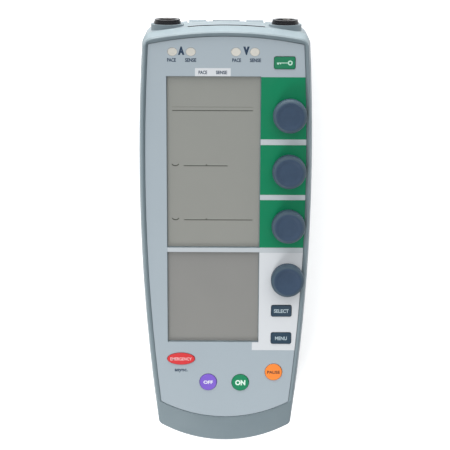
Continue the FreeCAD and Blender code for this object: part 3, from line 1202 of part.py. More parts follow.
def make_battery():
    """Square battery with its two terminals towards the bay's inner end."""
    can = block("battery_can", "-battery_width / 2", BATTERY_FRONT, BATTERY_BASE, "battery_width",
                "battery_length", "battery_depth")
    terminals = [rod(f"{name}_terminal", f"{side} * terminal_spacing / 2", BATTERY_BACK, BATTERY_MIDDLE,
                     f"terminal_{name}", "terminal_height", (Vector(1, 0, 0), -90))
                 for name, side in (("small", -1), ("large", 1))]
    keep("battery", join("battery", [can] + terminals))

    plate = block("contact_plate_solid", "-terminal_spacing / 2 - plate_margin", f"{BAY_END} - contact_plate",
                  f"{BATTERY_MIDDLE} - plate_height / 2", "terminal_spacing + 2 * plate_margin",
                  "contact_plate", "plate_height")
    cups = [rod(f"{name}_cup", f"{side} * terminal_spacing / 2", f"{BATTERY_BACK} + terminal_height",
                BATTERY_MIDDLE, "cup_radius", "contact_cup", (Vector(1, 0, 0), -90))
            for name, side in (("small", -1), ("large", 1))]
    keep("battery_contacts", join("battery_contacts", [plate] + cups))


def make_drawer():
    """Battery drawer: a tray whose front continues the case's bottom edge."""
    blank = new_body("drawer_blank")
    outline = new_sketch(blank, "drawer_blank_outline", DRAWER_BASE)
    draw_inset(outline, "0")
    extrude(blank, "drawer_blank_pad", "Pad", outline, f"{BAY_TOP} - {DRAWER_BASE} - drawer_gap")
    reach = block("drawer_reach", f"-{DRAWER_HALF}", "-case_bottom - wall", DRAWER_BASE, f"2 * {DRAWER_HALF}",
                  f"{BATTERY_BACK} + battery_fit + drawer_lip + case_bottom + wall",
                  f"{BAY_TOP} - {DRAWER_BASE}")
    solid = common("drawer_solid", blank, reach)
    room = block("drawer_room", "-battery_width / 2 - battery_fit", f"{BATTERY_FRONT} - battery_fit",
                 BATTERY_BASE, "battery_width + 2 * battery_fit", "battery_length + 2 * battery_fit",
                 "2 * battery_depth")
    low_back = block("drawer_low_back", f"-{BAY_HALF}", f"{BATTERY_BACK} + battery_fit",
                     f"{BATTERY_BASE} + drawer_lip_height", f"2 * {BAY_HALF}", "2 * drawer_lip",
                     "2 * battery_depth")
    low_sides = block("drawer_low_sides", f"-{BAY_HALF}", BATTERY_FRONT,
                      f"{BATTERY_BASE} + drawer_wall_height", f"2 * {BAY_HALF}", "2 * battery_length",
                      "2 * battery_depth")
    slit_outline = block("latch_slit_outline", "battery_width / 2",
                         f"{RELEASE_Y} + release_bar_width - latch_tongue_length",
                         "release_z - latch_tongue / 2 - latch_slit", "2 * drawer_side",
                         "latch_tongue_length + latch_slit", "latch_tongue + 2 * latch_slit")
    tongue = block("latch_tongue_solid", "battery_width / 2",
                   f"{RELEASE_Y} + release_bar_width - latch_tongue_length", "release_z - latch_tongue / 2",
                   "2 * drawer_side", "latch_tongue_length", "latch_tongue")
    slit = cut("latch_slit_cut", slit_outline, tongue)
    grip = block("drawer_grip", "-grip_width / 2", "-case_bottom - wall",
                 f"({DRAWER_BASE} + {BAY_TOP} - grip_height) / 2", "grip_width", "wall + grip_depth",
                 "grip_height")
    keep("battery_drawer", cut("battery_drawer", solid,
                               join("drawer_cuts", [room, low_back, low_sides, slit, grip])))
    inner_sag = f"(case_bottom_radius - sqrt((case_bottom_radius - wall) ^ 2 - {BAY_OUTER} ^ 2))"
    cover_front = f"({inner_sag} + bay_cover_fit - case_bottom)"
    keep("bay_cover", block("bay_cover", f"-{BAY_OUTER}", cover_front, BAY_TOP, f"2 * {BAY_OUTER}",
                            f"{BAY_END} + bay_wall - {cover_front}", "bay_cover_height"))


def make_release():
    """Release button on the flank, with its bar to the drawer and its bow spring."""
    blank = new_body("release_blank")
    outline = new_sketch(blank, "release_blank_outline", "release_z - release_height")
    draw_inset(outline, "-release_proud")
    extrude(blank, "release_blank_pad", "Pad", outline, "2 * release_height")
    cap_body = new_body("release_cap_body")
    cap = new_sketch(cap_body, "release_cap_outline", f"{RELEASE_FLANGE_X} - release_flange", "YZ_Plane")
    draw_rounded(cap, RELEASE_Y, "release_z", "release_length", "release_height", "release_corner")
    extrude(cap_body, "release_cap_pad", "Pad", cap, "5 * wall")
    face = common("release_face", blank, cap_body)
    flange = block("release_flange_solid", f"{RELEASE_FLANGE_X} - release_flange",
                   f"{RELEASE_Y} - release_length / 2 - release_lap",
                   "release_z - release_height / 2 - release_lap",
                   "release_flange", "release_length + 2 * release_lap", "release_height + 2 * release_lap")
    tip = f"({DRAWER_HALF} + latch_gap + release_travel)"
    bar = block("release_bar", tip, f"{RELEASE_Y} - release_bar_width / 2",
                "release_z - release_bar_height / 2", f"{RELEASE_FLANGE_X} - {tip}", "release_bar_width",
                "release_bar_height")
    keep("release_button", join("release_button", [face, flange, bar]))

    body = new_body("release_spring")
    base = "(release_z + release_bar_height / 2 + 2 * release_fit)"
    strip = new_sketch(body, "release_spring_outline", base)
    bow = f"({RELEASE_FLANGE_X} - release_flange - {SEAT_RIB_X} - spring_thickness)"
    bow_radius = f"((spring_length ^ 2 / 4 + {bow} ^ 2) / (2 * {bow}))"
    hub_x = value(f"{RELEASE_FLANGE_X} - release_flange - {bow_radius}")
    hub = Vector(hub_x, value(RELEASE_Y), 0)
    inner = value(f"{bow_radius} - spring_thickness")
    outer = value(bow_radius)
    spread = math.asin(value("spring_length") / 2 / outer)
    for radius in (outer, inner):
        circle = Part.Circle(hub, Vector(0, 0, 1), radius)
        strip.addGeometry(Part.ArcOfCircle(circle, -spread, spread))
    ends = [hub + Vector(math.cos(spread) * radius, side * math.sin(spread) * radius, 0)
            for side in (-1, 1) for radius in (inner, outer)]
    strip.addGeometry(Part.LineSegment(ends[0], ends[1]))
    strip.addGeometry(Part.LineSegment(ends[3], ends[2]))
    for first, first_end, second, second_end in ((2, 2, 0, 1), (0, 2, 3, 1), (3, 2, 1, 2), (1, 1, 2, 1)):
        strip.addConstraint(Sketcher.Constraint("Coincident", first, first_end, second, second_end))
    strip.addConstraint(Sketcher.Constraint("Coincident", 0, 3, 1, 3))
    strip.addConstraint(Sketcher.Constraint("PointOnObject", 0, 3, 2))
    strip.addConstraint(Sketcher.Constraint("PointOnObject", 0, 3, 3))
    dimension(strip, "Radius", (0,), bow_radius)
    dimension(strip, "Radius", (1,), f"{bow_radius} - spring_thickness")
    dimension(strip, "DistanceY", (0, 1, 0, 2), "spring_length")
    dimension(strip, "DistanceX", (-1, 1, 0, 3), f"{RELEASE_FLANGE_X} - release_flange - {bow_radius}")
    dimension(strip, "DistanceY", (-1, 1, 0, 3), RELEASE_Y)
    strip.addConstraint(Sketcher.Constraint("Vertical", 0, 1, 0, 2))
    extrude(body, "release_spring_pad", "Pad", strip, "spring_height")
    keep("release_spring", body)


# Hanger


def make_hanger():
    """Swing-out hanger: a loop on a neck with its hinge knuckle, and the pin."""
    body = new_body("hanger")
    plate = new_sketch(body, "hanger_plate_outline", "hanger_sink")
    draw_rounded(plate, "0", HANGER_MIDDLE, "2 * hanger_half", "hanger_length", "hanger_corner")
    extrude(body, "hanger_plate", "Pad", plate, "hanger_thickness")
    eye = new_sketch(body, "hanger_eye_outline", "hanger_sink")
    draw_rounded(eye, "0", HANGER_MIDDLE, "2 * (hanger_half - hanger_bar)",
                 "hanger_length - 2 * hanger_bar", "eye_corner")
    extrude(body, "hanger_eye", "Pocket", eye, "hanger_thickness")
    neck = new_sketch(body, "hanger_neck_outline", "hanger_sink")
    draw_rectangle(neck, "-knuckle_half", f"{HANGER_TOP} - 0.5 * hanger_bar", "2 * knuckle_half",
                   "hanger_drop + 0.5 * hanger_bar")
    extrude(body, "hanger_neck", "Pad", neck, "hanger_thickness")
    knuckle = new_sketch(body, "hanger_knuckle_outline", "-knuckle_half", "YZ_Plane")
    draw_circle(knuckle, HINGE_Y, "hinge_height", "knuckle_radius")
    extrude(body, "hanger_knuckle", "Pad", knuckle, "2 * knuckle_half")
    bore = new_sketch(body, "hanger_bore_outline", "-knuckle_half", "YZ_Plane")
    draw_circle(bore, HINGE_Y, "hinge_height", "pin_radius + pin_fit")
    extrude(body, "hanger_bore", "Pocket", bore, "2 * knuckle_half")
    keep("hanger", body)
    keep("hanger_pin", rod("hanger_pin", "-lug_outer", HINGE_Y, "hinge_height", "pin_radius", "2 * lug_outer",
                           (Vector(0, 1, 0), 90)))


def build():
    """Make every sub-part."""
    make_front_case()
    make_rear_case()
    make_gasket()
    make_overlay()
    make_displays()
    for number, name in enumerate(KNOBS):
        make_dial(name, number)
    for name in KEYS:
        make_key(name)
    make_switches()
    make_lights()
    make_control_board()
    make_main_board()
    make_screws()
    for name, side in SOCKETS.items():
        make_socket(name, side)
    make_battery()
    make_drawer()
    make_release()
    make_hanger()
    document.recompute()


def check():
    """Stop if any object failed or any sub-part isn't a sound solid."""
    for item in document.Objects:
        if "Invalid" in item.State or "Error" in item.State:
            raise RuntimeError(f"{item.Name} failed: {item.State}")
    for name, item in pieces.items():
        if item.Shape.isNull() or not item.Shape.isValid() or not item.Shape.Solids:
            raise RuntimeError(f"{name} has no sound solid")


def export():
    """Write each sub-part to its own file."""
    os.makedirs("parts", exist_ok=True)
    for name, item in pieces.items():
        item.Shape.exportStep(f"parts/{name}.step")


build()
check()
export()
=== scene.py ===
"""Dresses a hand-held external temporary pacemaker in its finishes, on a pale table under soft light."""

import logging
import math
from dataclasses import dataclass, field
from enum import Enum
from functools import cache
from typing import Any, Sequence

import bmesh
import bpy
from mathutils import Matrix, Vector


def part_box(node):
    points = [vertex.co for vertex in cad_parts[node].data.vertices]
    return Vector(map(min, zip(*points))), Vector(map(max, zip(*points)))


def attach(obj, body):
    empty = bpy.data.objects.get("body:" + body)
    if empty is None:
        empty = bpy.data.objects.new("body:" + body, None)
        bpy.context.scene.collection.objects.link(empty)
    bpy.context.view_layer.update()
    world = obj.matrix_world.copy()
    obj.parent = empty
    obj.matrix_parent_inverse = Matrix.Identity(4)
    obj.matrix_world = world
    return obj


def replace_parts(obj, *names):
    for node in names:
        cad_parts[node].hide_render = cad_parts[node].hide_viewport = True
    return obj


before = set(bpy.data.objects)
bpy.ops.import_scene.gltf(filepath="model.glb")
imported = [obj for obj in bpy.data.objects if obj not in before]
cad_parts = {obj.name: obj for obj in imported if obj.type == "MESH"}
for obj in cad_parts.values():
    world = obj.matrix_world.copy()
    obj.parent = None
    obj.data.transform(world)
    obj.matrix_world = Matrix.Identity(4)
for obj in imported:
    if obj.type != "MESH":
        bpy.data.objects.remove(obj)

LOG = logging.getLogger("pacemaker")
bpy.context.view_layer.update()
MM = 0.001
OBJECT_COLLECTION = bpy.context.scene.collection

Colour = tuple[float, float, float, float]
Place = tuple[float, float]
Point = tuple[float, float, float]
WHITE = (1.0, 1.0, 1.0, 1.0)
PLASTIC_IOR = 1.5


class Body(Enum):
    """The moving and fixed bodies that pieces ride on."""

    CASE = "case"
    LOCK = "lock_key"
    SELECT = "select_key"
    MENU = "menu_key"
    EMERGENCY = "emergency_key"
    OFF = "off_key"
    ON = "on_key"
    PAUSE = "pause_key"


def paint(red: int, green: int, blue: int) -> Colour:
    """Turn a display colour into the linear one that shaders take.

    Args:
        red: Red from 0 to 255.
        green: Green from 0 to 255.
        blue: Blue from 0 to 255.

    Returns:
        The linear colour with full alpha.
    """
    def linear(value: int) -> float:
        """One channel, linear."""
        share = value / 255
        return share / 12.92 if share <= 0.04045 else ((share + 0.055) / 1.055) ** 2.4

    return (linear(red), linear(green), linear(blue), 1.0)


def toned(colour: Colour, factor: float) -> Colour:
    """The same colour, lighter or darker by a factor."""
    return (colour[0] * factor, colour[1] * factor, colour[2] * factor, 1.0)


class Board:
    """Adds nodes to one tree and joins them, a line for each."""

    def __init__(self, tree: bpy.types.NodeTree) -> None:
        """Keep the tree that the nodes go into."""
        self.tree = tree

    def feed(self, node: bpy.types.Node, values: dict[Any, Any]) -> None:
        """Give inputs, by name or number, their values or the sockets that feed them."""
        for name, value in values.items():
            if isinstance(value, bpy.types.NodeSocket):
                self.tree.links.new(value, node.inputs[name])
            else:
                node.inputs[name].default_value = value

    def add(self, kind: str, values: dict[Any, Any] | None = None, **settings: Any) -> bpy.types.Node:
        """Add a node.

        Args:
            kind: The node's type name.
            values: Inputs by name or number, as feed takes them.
            **settings: The node's own properties.

        Returns:
            The new node.
        """
        node = self.tree.nodes.new(kind)
        for name, setting in settings.items():
            setattr(node, name, setting)
        self.feed(node, values or {})
        return node

    def maths(self, operation: str, *terms: Any) -> bpy.types.NodeSocket:
        """Add a Math node and return its result."""
        return self.add("ShaderNodeMath", dict(enumerate(terms)), operation=operation).outputs[0]

    def times(self, first: Any, second: Any) -> bpy.types.NodeSocket:
        """Multiply two values."""
        return self.maths("MULTIPLY", first, second)

    def plus(self, first: Any, second: Any) -> bpy.types.NodeSocket:
        """Add two values."""
        return self.maths("ADD", first, second)

    def vector(self, **parts: Any) -> bpy.types.NodeSocket:
        """Join X, Y and Z into a vector."""
        return self.add("ShaderNodeCombineXYZ", parts).outputs[0]

    def parts(self, vector: bpy.types.NodeSocket) -> Any:
        """Part a vector into X, Y and Z."""
        return self.add("ShaderNodeSeparateXYZ", {"Vector": vector}).outputs

    def spot(self) -> bpy.types.NodeSocket:
        """Tell where on the object a point of its surface lies."""
        return self.add("ShaderNodeTexCoord").outputs["Object"]

    def noise(self, where: bpy.types.NodeSocket, scale: Any, detail: float) -> bpy.types.NodeSocket:
        """Add a noise and return its strength."""
        node = self.add("ShaderNodeTexNoise", {"Vector": where, "Scale": scale, "Detail": detail})
        return node.outputs["Fac"]

    def ranged(self, value: bpy.types.NodeSocket, low: Any = 0.0, high: Any = 1.0, start: float = 0.3,
               end: float = 0.7) -> bpy.types.NodeSocket:
        """Stretch what a value has between start and end, so that it runs from low to high."""
        node = self.add("ShaderNodeMapRange", {
            "Value": value, "From Min": start, "From Max": end, "To Min": low, "To Max": high})
        return node.outputs["Result"]

    def blend(self, share: Any, low: Any, high: Any) -> bpy.types.NodeSocket:
        """Mix two colours by a share."""
        return self.add("ShaderNodeMix", {0: share, 6: low, 7: high}, data_type="RGBA").outputs[2]

    def effect(self, tree: bpy.types.NodeTree, **values: float) -> Any:
        """Place a shared effect with its values and return its outputs."""
        return self.add("ShaderNodeGroup", values, node_tree=tree).outputs

    def relief(self, shader: bpy.types.Node, height: bpy.types.NodeSocket, depth: float) -> None:
        """Give a shader a bump of that depth, in millimetres."""
        bump = self.add("ShaderNodeBump", {"Height": height, "Strength": 1.0, "Distance": depth * MM})
        self.feed(shader, {"Normal": bump.outputs["Normal"]})


def open_group(name: str, inputs: dict[str, float], outputs: Sequence[str]) -> tuple[Board, Any, Any]:
    """Open a shader node group with its sockets.

    Args:
        name: The group's name.
        inputs: Input names with their defaults.
        outputs: Output names.

    Returns:
        The board, the given values and the output node.
    """
    tree = bpy.data.node_groups.new(name, "ShaderNodeTree")
    for label, default in inputs.items():
        socket = tree.interface.new_socket(label, in_out="INPUT", socket_type="NodeSocketFloat")
        socket.default_value = default
    for label in outputs:
        tree.interface.new_socket(label, in_out="OUTPUT", socket_type="NodeSocketFloat")
    board = Board(tree)
    return board, board.add("NodeGroupInput").outputs, board.add("NodeGroupOutput")


class SharedEffects:
    """Shader node groups that several finishes use, each built once."""

    @staticmethod
    @cache
    def moulded_grain() -> bpy.types.NodeTree:
        """Build spark-eroded mould grain.

        Returns:
            The group, with Height, Tone and Gloss that change over the surface.
        """
        board, given, result = open_group(
            "moulded_grain", {"Grain": 0.35, "Patch": 30.0}, ("Height", "Tone", "Gloss"))
        where = board.spot()
        fine = board.maths("DIVIDE", 1 / MM, given["Grain"])
        broad = board.maths("DIVIDE", 1 / MM, given["Patch"])
        cells = board.add("ShaderNodeTexVoronoi", {"Vector": where, "Scale": fine}, feature="SMOOTH_F1")
        speck = board.noise(where, board.times(fine, 0.55), 3.0)
        board.feed(result, {
            "Height": board.plus(board.times(cells.outputs["Distance"], 0.55), board.times(speck, 0.45)),
            "Tone": board.noise(where, broad, 4.0),
            "Gloss": board.noise(where, board.times(broad, 3.7), 2.0)})
        return board.tree

    @staticmethod
    @cache
    def handling_marks() -> bpy.types.NodeTree:
        """Build hairline scratches from use, and a trace of dust on what faces up.

        Returns:
            The group, with the masks Scratch and Dust.
        """
        board, given, result = open_group("handling_marks", {"Amount": 0.5}, ("Scratch", "Dust"))
        where = board.spot()
        lines = []
        for angle in (0.45, -0.8):
            turned = board.add("ShaderNodeMapping", {
                "Vector": where, "Rotation": (0.0, 0.0, angle), "Scale": (2600.0, 36.0, 120.0)})
            lines.append(board.ranged(board.noise(turned.outputs["Vector"], 1.0, 1.0), start=0.66, end=0.74))
        facing = board.parts(board.add("ShaderNodeNewGeometry").outputs["Normal"])
        upward = board.maths("MAXIMUM", facing["Z"], 0.0)
        drift = board.ranged(board.noise(where, 55.0, 6.0), start=0.45, end=0.8)
        board.feed(result, {
            "Scratch": board.times(board.maths("MAXIMUM", *lines), given["Amount"]),
            "Dust": board.times(board.times(upward, drift), given["Amount"])})
        return board.tree

    @staticmethod
    @cache
    def drawn_lines() -> bpy.types.NodeTree:
        """Build the fine lines that rolling, turning or wiping leaves along one axis.

        Returns:
            The group, with Height and Tone.
        """
        board, given, result = open_group("drawn_lines", {"Across": 0.12, "Along": 6.0}, ("Height", "Tone"))
        where = board.spot()
        across = board.maths("DIVIDE", 1 / MM, given["Across"])
        along = board.maths("DIVIDE", 1 / MM, given["Along"])
        stretched = board.add("ShaderNodeVectorMath", {
            0: where, 1: board.vector(X=along, Y=along, Z=across)}, operation="MULTIPLY")
        lines = board.noise(stretched.outputs["Vector"], 1.0, 3.0)
        stain = board.noise(where, 240.0, 2.0)
        board.feed(result, {
            "Height": lines, "Tone": board.plus(board.times(lines, 0.6), board.times(stain, 0.4))})
        return board.tree


def new_material(name: str) -> tuple[bpy.types.Material, Board, bpy.types.Node]:
    """Start a material.

    Args:
        name: The material's name.

    Returns:
        The material, its board and its Principled shader.
    """
    material = bpy.data.materials.new(name)
    material.use_nodes = True
    material.node_tree.nodes.clear()
    board = Board(material.node_tree)
    shader = board.add("ShaderNodeBsdfPrincipled")
    board.add("ShaderNodeOutputMaterial", {"Surface": shader.outputs["BSDF"]})
    return material, board, shader


@dataclass(frozen=True)
class Moulding:
    """Injection-moulded plastic with mould grain, uneven gloss and marks of handling."""

    name: str
    colour: Colour
    grain: float = 0.4
    depth: float = 0.012
    gloss: Place = (0.42, 0.56)
    variation: float = 0.05
    marks: float = 0.25
    scratch_share: float = 0.35
    scratch_tone: float = 1.5
    dust: Colour = paint(196, 198, 196)
    dust_share: float = 0.12
    dust_dulling: float = 0.15
    coat: float = 0.0
    coat_roughness: float = 0.2
    specular: float = 0.5

    def make(self) -> bpy.types.Material:
        """Build the material."""
        material, board, shader = new_material(self.name)
        grain = board.effect(SharedEffects.moulded_grain(), Grain=self.grain)
        marks = board.effect(SharedEffects.handling_marks(), Amount=self.marks)
        base = board.blend(board.ranged(grain["Tone"]), toned(self.colour, 1 - self.variation),
                           toned(self.colour, 1 + self.variation))
        scuffed = board.blend(board.times(marks["Scratch"], self.scratch_share), base,
                              toned(self.colour, self.scratch_tone))
        board.relief(shader, grain["Height"], self.depth)
        board.feed(shader, {
            "Base Color": board.blend(board.times(marks["Dust"], self.dust_share), scuffed, self.dust),
            "Roughness": board.plus(board.ranged(grain["Gloss"], *self.gloss),
                                    board.times(marks["Dust"], self.dust_dulling)),
            "IOR": PLASTIC_IOR, "Coat Weight": self.coat, "Coat Roughness": self.coat_roughness,
            "Specular IOR Level": self.specular})
        return material


@dataclass(frozen=True)
class SoftTouch:
    """Soft-touch dial plastic: a dull dished face, and a rim that fingers have polished glossier, painted
    lighter as a highlight where the rounded rim catches light.
    """

    name: str
    face: Colour
    rim_highlight: Colour
    grain: float = 0.3
    patch: float = 6.0
    depth: float = 0.012
    gloss: Place = (0.55, 0.68)
    variation: float = 0.07
    polish: float = 0.1
    marks: float = 0.4
    dust: Colour = paint(190, 190, 192)
    dust_share: float = 0.02
    specular: float = 0.25

    def make(self) -> bpy.types.Material:
        """Build the material, which reads the dial's own mask of rim polish and painted highlight."""
        material, board, shader = new_material(self.name)
        grain = board.effect(SharedEffects.moulded_grain(), Grain=self.grain, Patch=self.patch)
        marks = board.effect(SharedEffects.handling_marks(), Amount=self.marks)
        mask = board.add("ShaderNodeAttribute", attribute_name=Dial.RIM_POLISH_AND_HIGHLIGHT).outputs["Fac"]
        # Painted highlight: the rim, its rounding and its side are painted lighter, as where light catches
        # them; the same mask makes them glossier from real polish.
        polish_and_highlight = board.times(mask, board.ranged(grain["Tone"], 0.75, 1.0))
        plain = board.blend(board.ranged(grain["Tone"]), toned(self.face, 1 - self.variation),
                            toned(self.face, 1 + self.variation))
        edged = board.blend(polish_and_highlight, plain, self.rim_highlight)
        board.relief(shader, grain["Height"], self.depth)
        board.feed(shader, {
            "Base Color": board.blend(board.times(marks["Dust"], self.dust_share), edged, self.dust),
            "Roughness": board.maths("SUBTRACT", board.ranged(grain["Gloss"], *self.gloss),
                                     board.times(mask, self.polish)),
            "Specular IOR Level": self.specular})
        return material


@dataclass(frozen=True)
class PrintedFilm:
    """Polycarbonate film or ink on it: velvet grain, low sheen and faint squeegee streaks."""

    name: str
    colour: Colour
    grain: float = 0.18
    patch: float = 60.0
    depth: float = 0.004
    streaks: Place = (3.0, 40.0)
    grain_share: float = 0.6
    gloss: Place = (0.4, 0.5)
    variation: float = 0.025
    marks: float = 0.2
    scratch_dulling: float = 0.15
    dust: Colour = paint(205, 206, 204)
    dust_share: float = 0.08
    specular: float = 0.22

    def make(self) -> bpy.types.Material:
        """Build the material."""
        material, board, shader = new_material(self.name)
        grain = board.effect(SharedEffects.moulded_grain(), Grain=self.grain, Patch=self.patch)
        wiped = board.effect(SharedEffects.drawn_lines(), Across=self.streaks[0], Along=self.streaks[1])
        marks = board.effect(SharedEffects.handling_marks(), Amount=self.marks)
        share = board.plus(board.times(board.ranged(grain["Tone"]), self.grain_share),
                           board.times(board.ranged(wiped["Tone"]), 1 - self.grain_share))
        base = board.blend(share, toned(self.colour, 1 - self.variation),
                           toned(self.colour, 1 + self.variation))
        board.relief(shader, grain["Height"], self.depth)
        board.feed(shader, {
            "Base Color": board.blend(board.times(marks["Dust"], self.dust_share), base, self.dust),
            "Roughness": board.plus(board.ranged(grain["Gloss"], *self.gloss),
                                    board.times(marks["Scratch"], self.scratch_dulling)),
            "IOR": PLASTIC_IOR, "Specular IOR Level": self.specular})
        return material


@dataclass(frozen=True)
class ClearPlate:
    """Clear plate that shows what is under it, with a hard coat and wiping marks."""

    name: str
    tint: Colour
    cover: float
    streaks: Place = (1.5, 30.0)
    depth: float = 0.0015
    gloss: Place = (0.2, 0.3)
    marks: float = 0.3
    dust_cover: float = 0.05
    smear_cover: float = 0.02
    smear_tone: float = 0.96
    ior: float = 1.49

    def make(self) -> bpy.types.Material:
        """Build the material."""
        material, board, shader = new_material(self.name)
        wiped = board.effect(SharedEffects.drawn_lines(), Across=self.streaks[0], Along=self.streaks[1])
        marks = board.effect(SharedEffects.handling_marks(), Amount=self.marks)
        smear = board.ranged(wiped["Tone"])
        cover = board.plus(board.times(marks["Dust"], self.dust_cover), self.cover)
        board.relief(shader, wiped["Height"], self.depth)
        board.feed(shader, {
            "Base Color": board.blend(smear, toned(self.tint, self.smear_tone), self.tint),
            "Alpha": board.plus(cover, board.times(smear, self.smear_cover)),
            "Roughness": board.ranged(wiped["Tone"], *self.gloss), "IOR": self.ior})
        return material


@dataclass(frozen=True)
class Display:
    """Switched-off liquid crystal glass: a grey-green polariser, painted lighter towards one end in place of
    the light that falls there.
    """

    name: str
    # The two colours are the lit end and the shaded end of a painted light gradient along Y.
    light: Colour
    shaded_end: Colour
    span: Place
    grain: float = 0.12
    patch: float = 18.0
    depth: float = 0.001
    streaks: Place = (0.4, 9.0)
    gloss: Place = (0.38, 0.5)
    stain_share: float = 0.35
    stain_tone: float = 0.93

    def make(self) -> bpy.types.Material:
        """Build the material."""
        material, board, shader = new_material(self.name)
        # Painted light: the display turns lighter along Y towards the end where light falls.
        painted_light_fade = board.ranged(board.parts(board.spot())["Y"], start=self.span[0] * MM, end=self.span[1] * MM)
        film = board.effect(SharedEffects.drawn_lines(), Across=self.streaks[0], Along=self.streaks[1])
        grain = board.effect(SharedEffects.moulded_grain(), Grain=self.grain, Patch=self.patch)
        share = board.times(board.ranged(grain["Tone"]), self.stain_share)
        board.relief(shader, grain["Height"], self.depth)
        board.feed(shader, {
            "Base Color": board.blend(share, board.blend(painted_light_fade, self.shaded_end, self.light),
                                      toned(self.light, self.stain_tone)),
            "Roughness": board.ranged(film["Tone"], *self.gloss)})
        return material


@dataclass(frozen=True)
class Metalwork:
    """Plated, drawn or turned metal with its working lines."""

    name: str
    colour: Colour
    across: float = 0.12
    along: float = 6.0
    gloss: Place = (0.22, 0.36)
    depth: float = 0.003
    dark_tone: float = 0.86

    def make(self) -> bpy.types.Material:
        """Build the material."""
        material, board, shader = new_material(self.name)
        lines = board.effect(SharedEffects.drawn_lines(), Across=self.across, Along=self.along)
        board.relief(shader, lines["Height"], self.depth)
        board.feed(shader, {
            "Base Color": board.blend(board.ranged(lines["Tone"]), toned(self.colour, self.dark_tone),
                                      self.colour),
            "Roughness": board.ranged(lines["Tone"], *self.gloss), "Metallic": 1.0})
        return material


KEY_COLOURS = (
    ("key_green", paint(14, 120, 82)), ("key_navy", paint(36, 60, 78)), ("key_red", paint(214, 56, 60)),
    ("key_purple", paint(126, 95, 202)), ("key_on_green", paint(14, 128, 86)),
    ("key_orange", paint(252, 142, 62)))


class Finishes:
    """Every finish of the device, by name, each made when it is first asked for."""

    CHART: tuple[Any, ...] = (
        Moulding("front_shell", paint(125, 140, 147), specular=0.3),
        Moulding("rear_shell", paint(118, 132, 139), grain=0.5, depth=0.016),
        Moulding("black_rubber", paint(34, 36, 40), grain=0.25, gloss=(0.6, 0.75), marks=0.1),
        PrintedFilm("panel_film", paint(167, 179, 187)),
        PrintedFilm("green_ink", paint(4, 125, 85)),
        PrintedFilm("white_ink", paint(214, 218, 222)),
        PrintedFilm("pale_grey_ink", paint(190, 197, 202)),
        PrintedFilm("navy_ink", paint(44, 62, 84)),
        PrintedFilm("caption_ink", paint(236, 240, 244)),
        PrintedFilm("mint_ink", paint(222, 244, 232)),
        PrintedFilm("rose_ink", paint(246, 206, 208)),
        PrintedFilm("slate_ink", paint(186, 204, 212)),
        PrintedFilm("lock_ink", paint(186, 222, 206)),
        PrintedFilm("dark_caption_ink", paint(96, 62, 50)),
        ClearPlate("window_clear", paint(128, 130, 125), 0.08),
        Display("upper_display_grey", paint(151, 153, 148), paint(149, 150, 145), (-4.0, 80.0)),
        Display("lower_display_grey", paint(142, 142, 140), paint(142, 142, 139), (-51.0, -4.0)),
        PrintedFilm("crystal_line", paint(66, 67, 62)),
        PrintedFilm("crystal_shade", paint(116, 118, 112)),
        Moulding("light_guide", paint(232, 234, 230), grain=0.8, depth=0.002, gloss=(0.12, 0.2), marks=0.0,
                 coat=0.4),
        Moulding("white_moulding", paint(222, 223, 219), marks=0.1),
        Moulding("switch_black", paint(30, 30, 32), grain=0.3, gloss=(0.4, 0.55), marks=0.1),
        Moulding("led_amber", paint(228, 214, 170), grain=0.6, depth=0.002, gloss=(0.12, 0.2), marks=0.0,
                 coat=0.6),
        Moulding("board_green", paint(30, 88, 56), grain=0.9, depth=0.006, gloss=(0.24, 0.34), marks=0.1,
                 variation=0.12, coat=0.3),
        Moulding("ferrite_grey", paint(70, 70, 74), grain=0.5, depth=0.03, gloss=(0.6, 0.75)),
        Metalwork("can_aluminium", paint(196, 198, 200)),
        Metalwork("screw_steel", paint(180, 182, 184), across=0.08, along=1.2, gloss=(0.25, 0.4)),
        Moulding("socket_black", paint(15, 15, 20), grain=0.3, depth=0.006, gloss=(0.24, 0.34), marks=0.05,
                 specular=0.3),
        Metalwork("contact_brass", paint(214, 182, 104), across=0.1, along=1.0, gloss=(0.18, 0.3)),
        Moulding("battery_jacket", paint(54, 62, 74), grain=2.0, depth=0.002, gloss=(0.2, 0.32), coat=0.5,
                 variation=0.1),
        Moulding("drawer_plastic", paint(118, 132, 139), grain=0.5, depth=0.016),
        Moulding("button_plastic", paint(96, 108, 116), grain=0.35, gloss=(0.38, 0.5)),
        Moulding("hanger_plastic", paint(104, 117, 124), grain=0.4),
        SoftTouch("knob_blue_grey", paint(54, 72, 94), paint(68, 86, 99)),
        Metalwork("shaft_steel", paint(186, 188, 190), across=0.06, along=0.8),
        Metalwork("encoder_metal", paint(160, 162, 164), across=0.3, along=4.0, gloss=(0.3, 0.45)),
        *(Moulding(name, colour, grain=0.3, depth=0.006, gloss=(0.34, 0.44), specular=0.3)
          for name, colour in KEY_COLOURS),
        Moulding("light_cream", paint(206, 204, 196), grain=0.9, depth=0.002, gloss=(0.24, 0.34), marks=0.1,
                 coat=0.3, variation=0.08),
    )

    @staticmethod
    @cache
    def get(name: str) -> bpy.types.Material:
        """Return a finish's material, built at the first call."""
        return next(finish for finish in Finishes.CHART if finish.name == name).make()


def dress_nodes(finishes: dict[str, str]) -> None:
    """Give solids of the model, by their nodes' names, their finishes and report them."""
    for name, finish in finishes.items():
        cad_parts[name].material_slots[0].material = Finishes.get(finish)
        LOG.info("%s: %s", name, finish)


def dress_piece(piece: bpy.types.Object, finish: str, body: str = Body.CASE.value) -> None:
    """Finish a new piece and let it ride.

    Args:
        piece: The object, in place.
        finish: The finish's name.
        body: The body that it moves with.
    """
    piece.data.materials.clear()
    piece.data.materials.append(Finishes.get(finish))
    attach(piece, body)
    LOG.info("%s: %s, rides on %s, %d faces", piece.name, finish, body, len(piece.data.polygons))


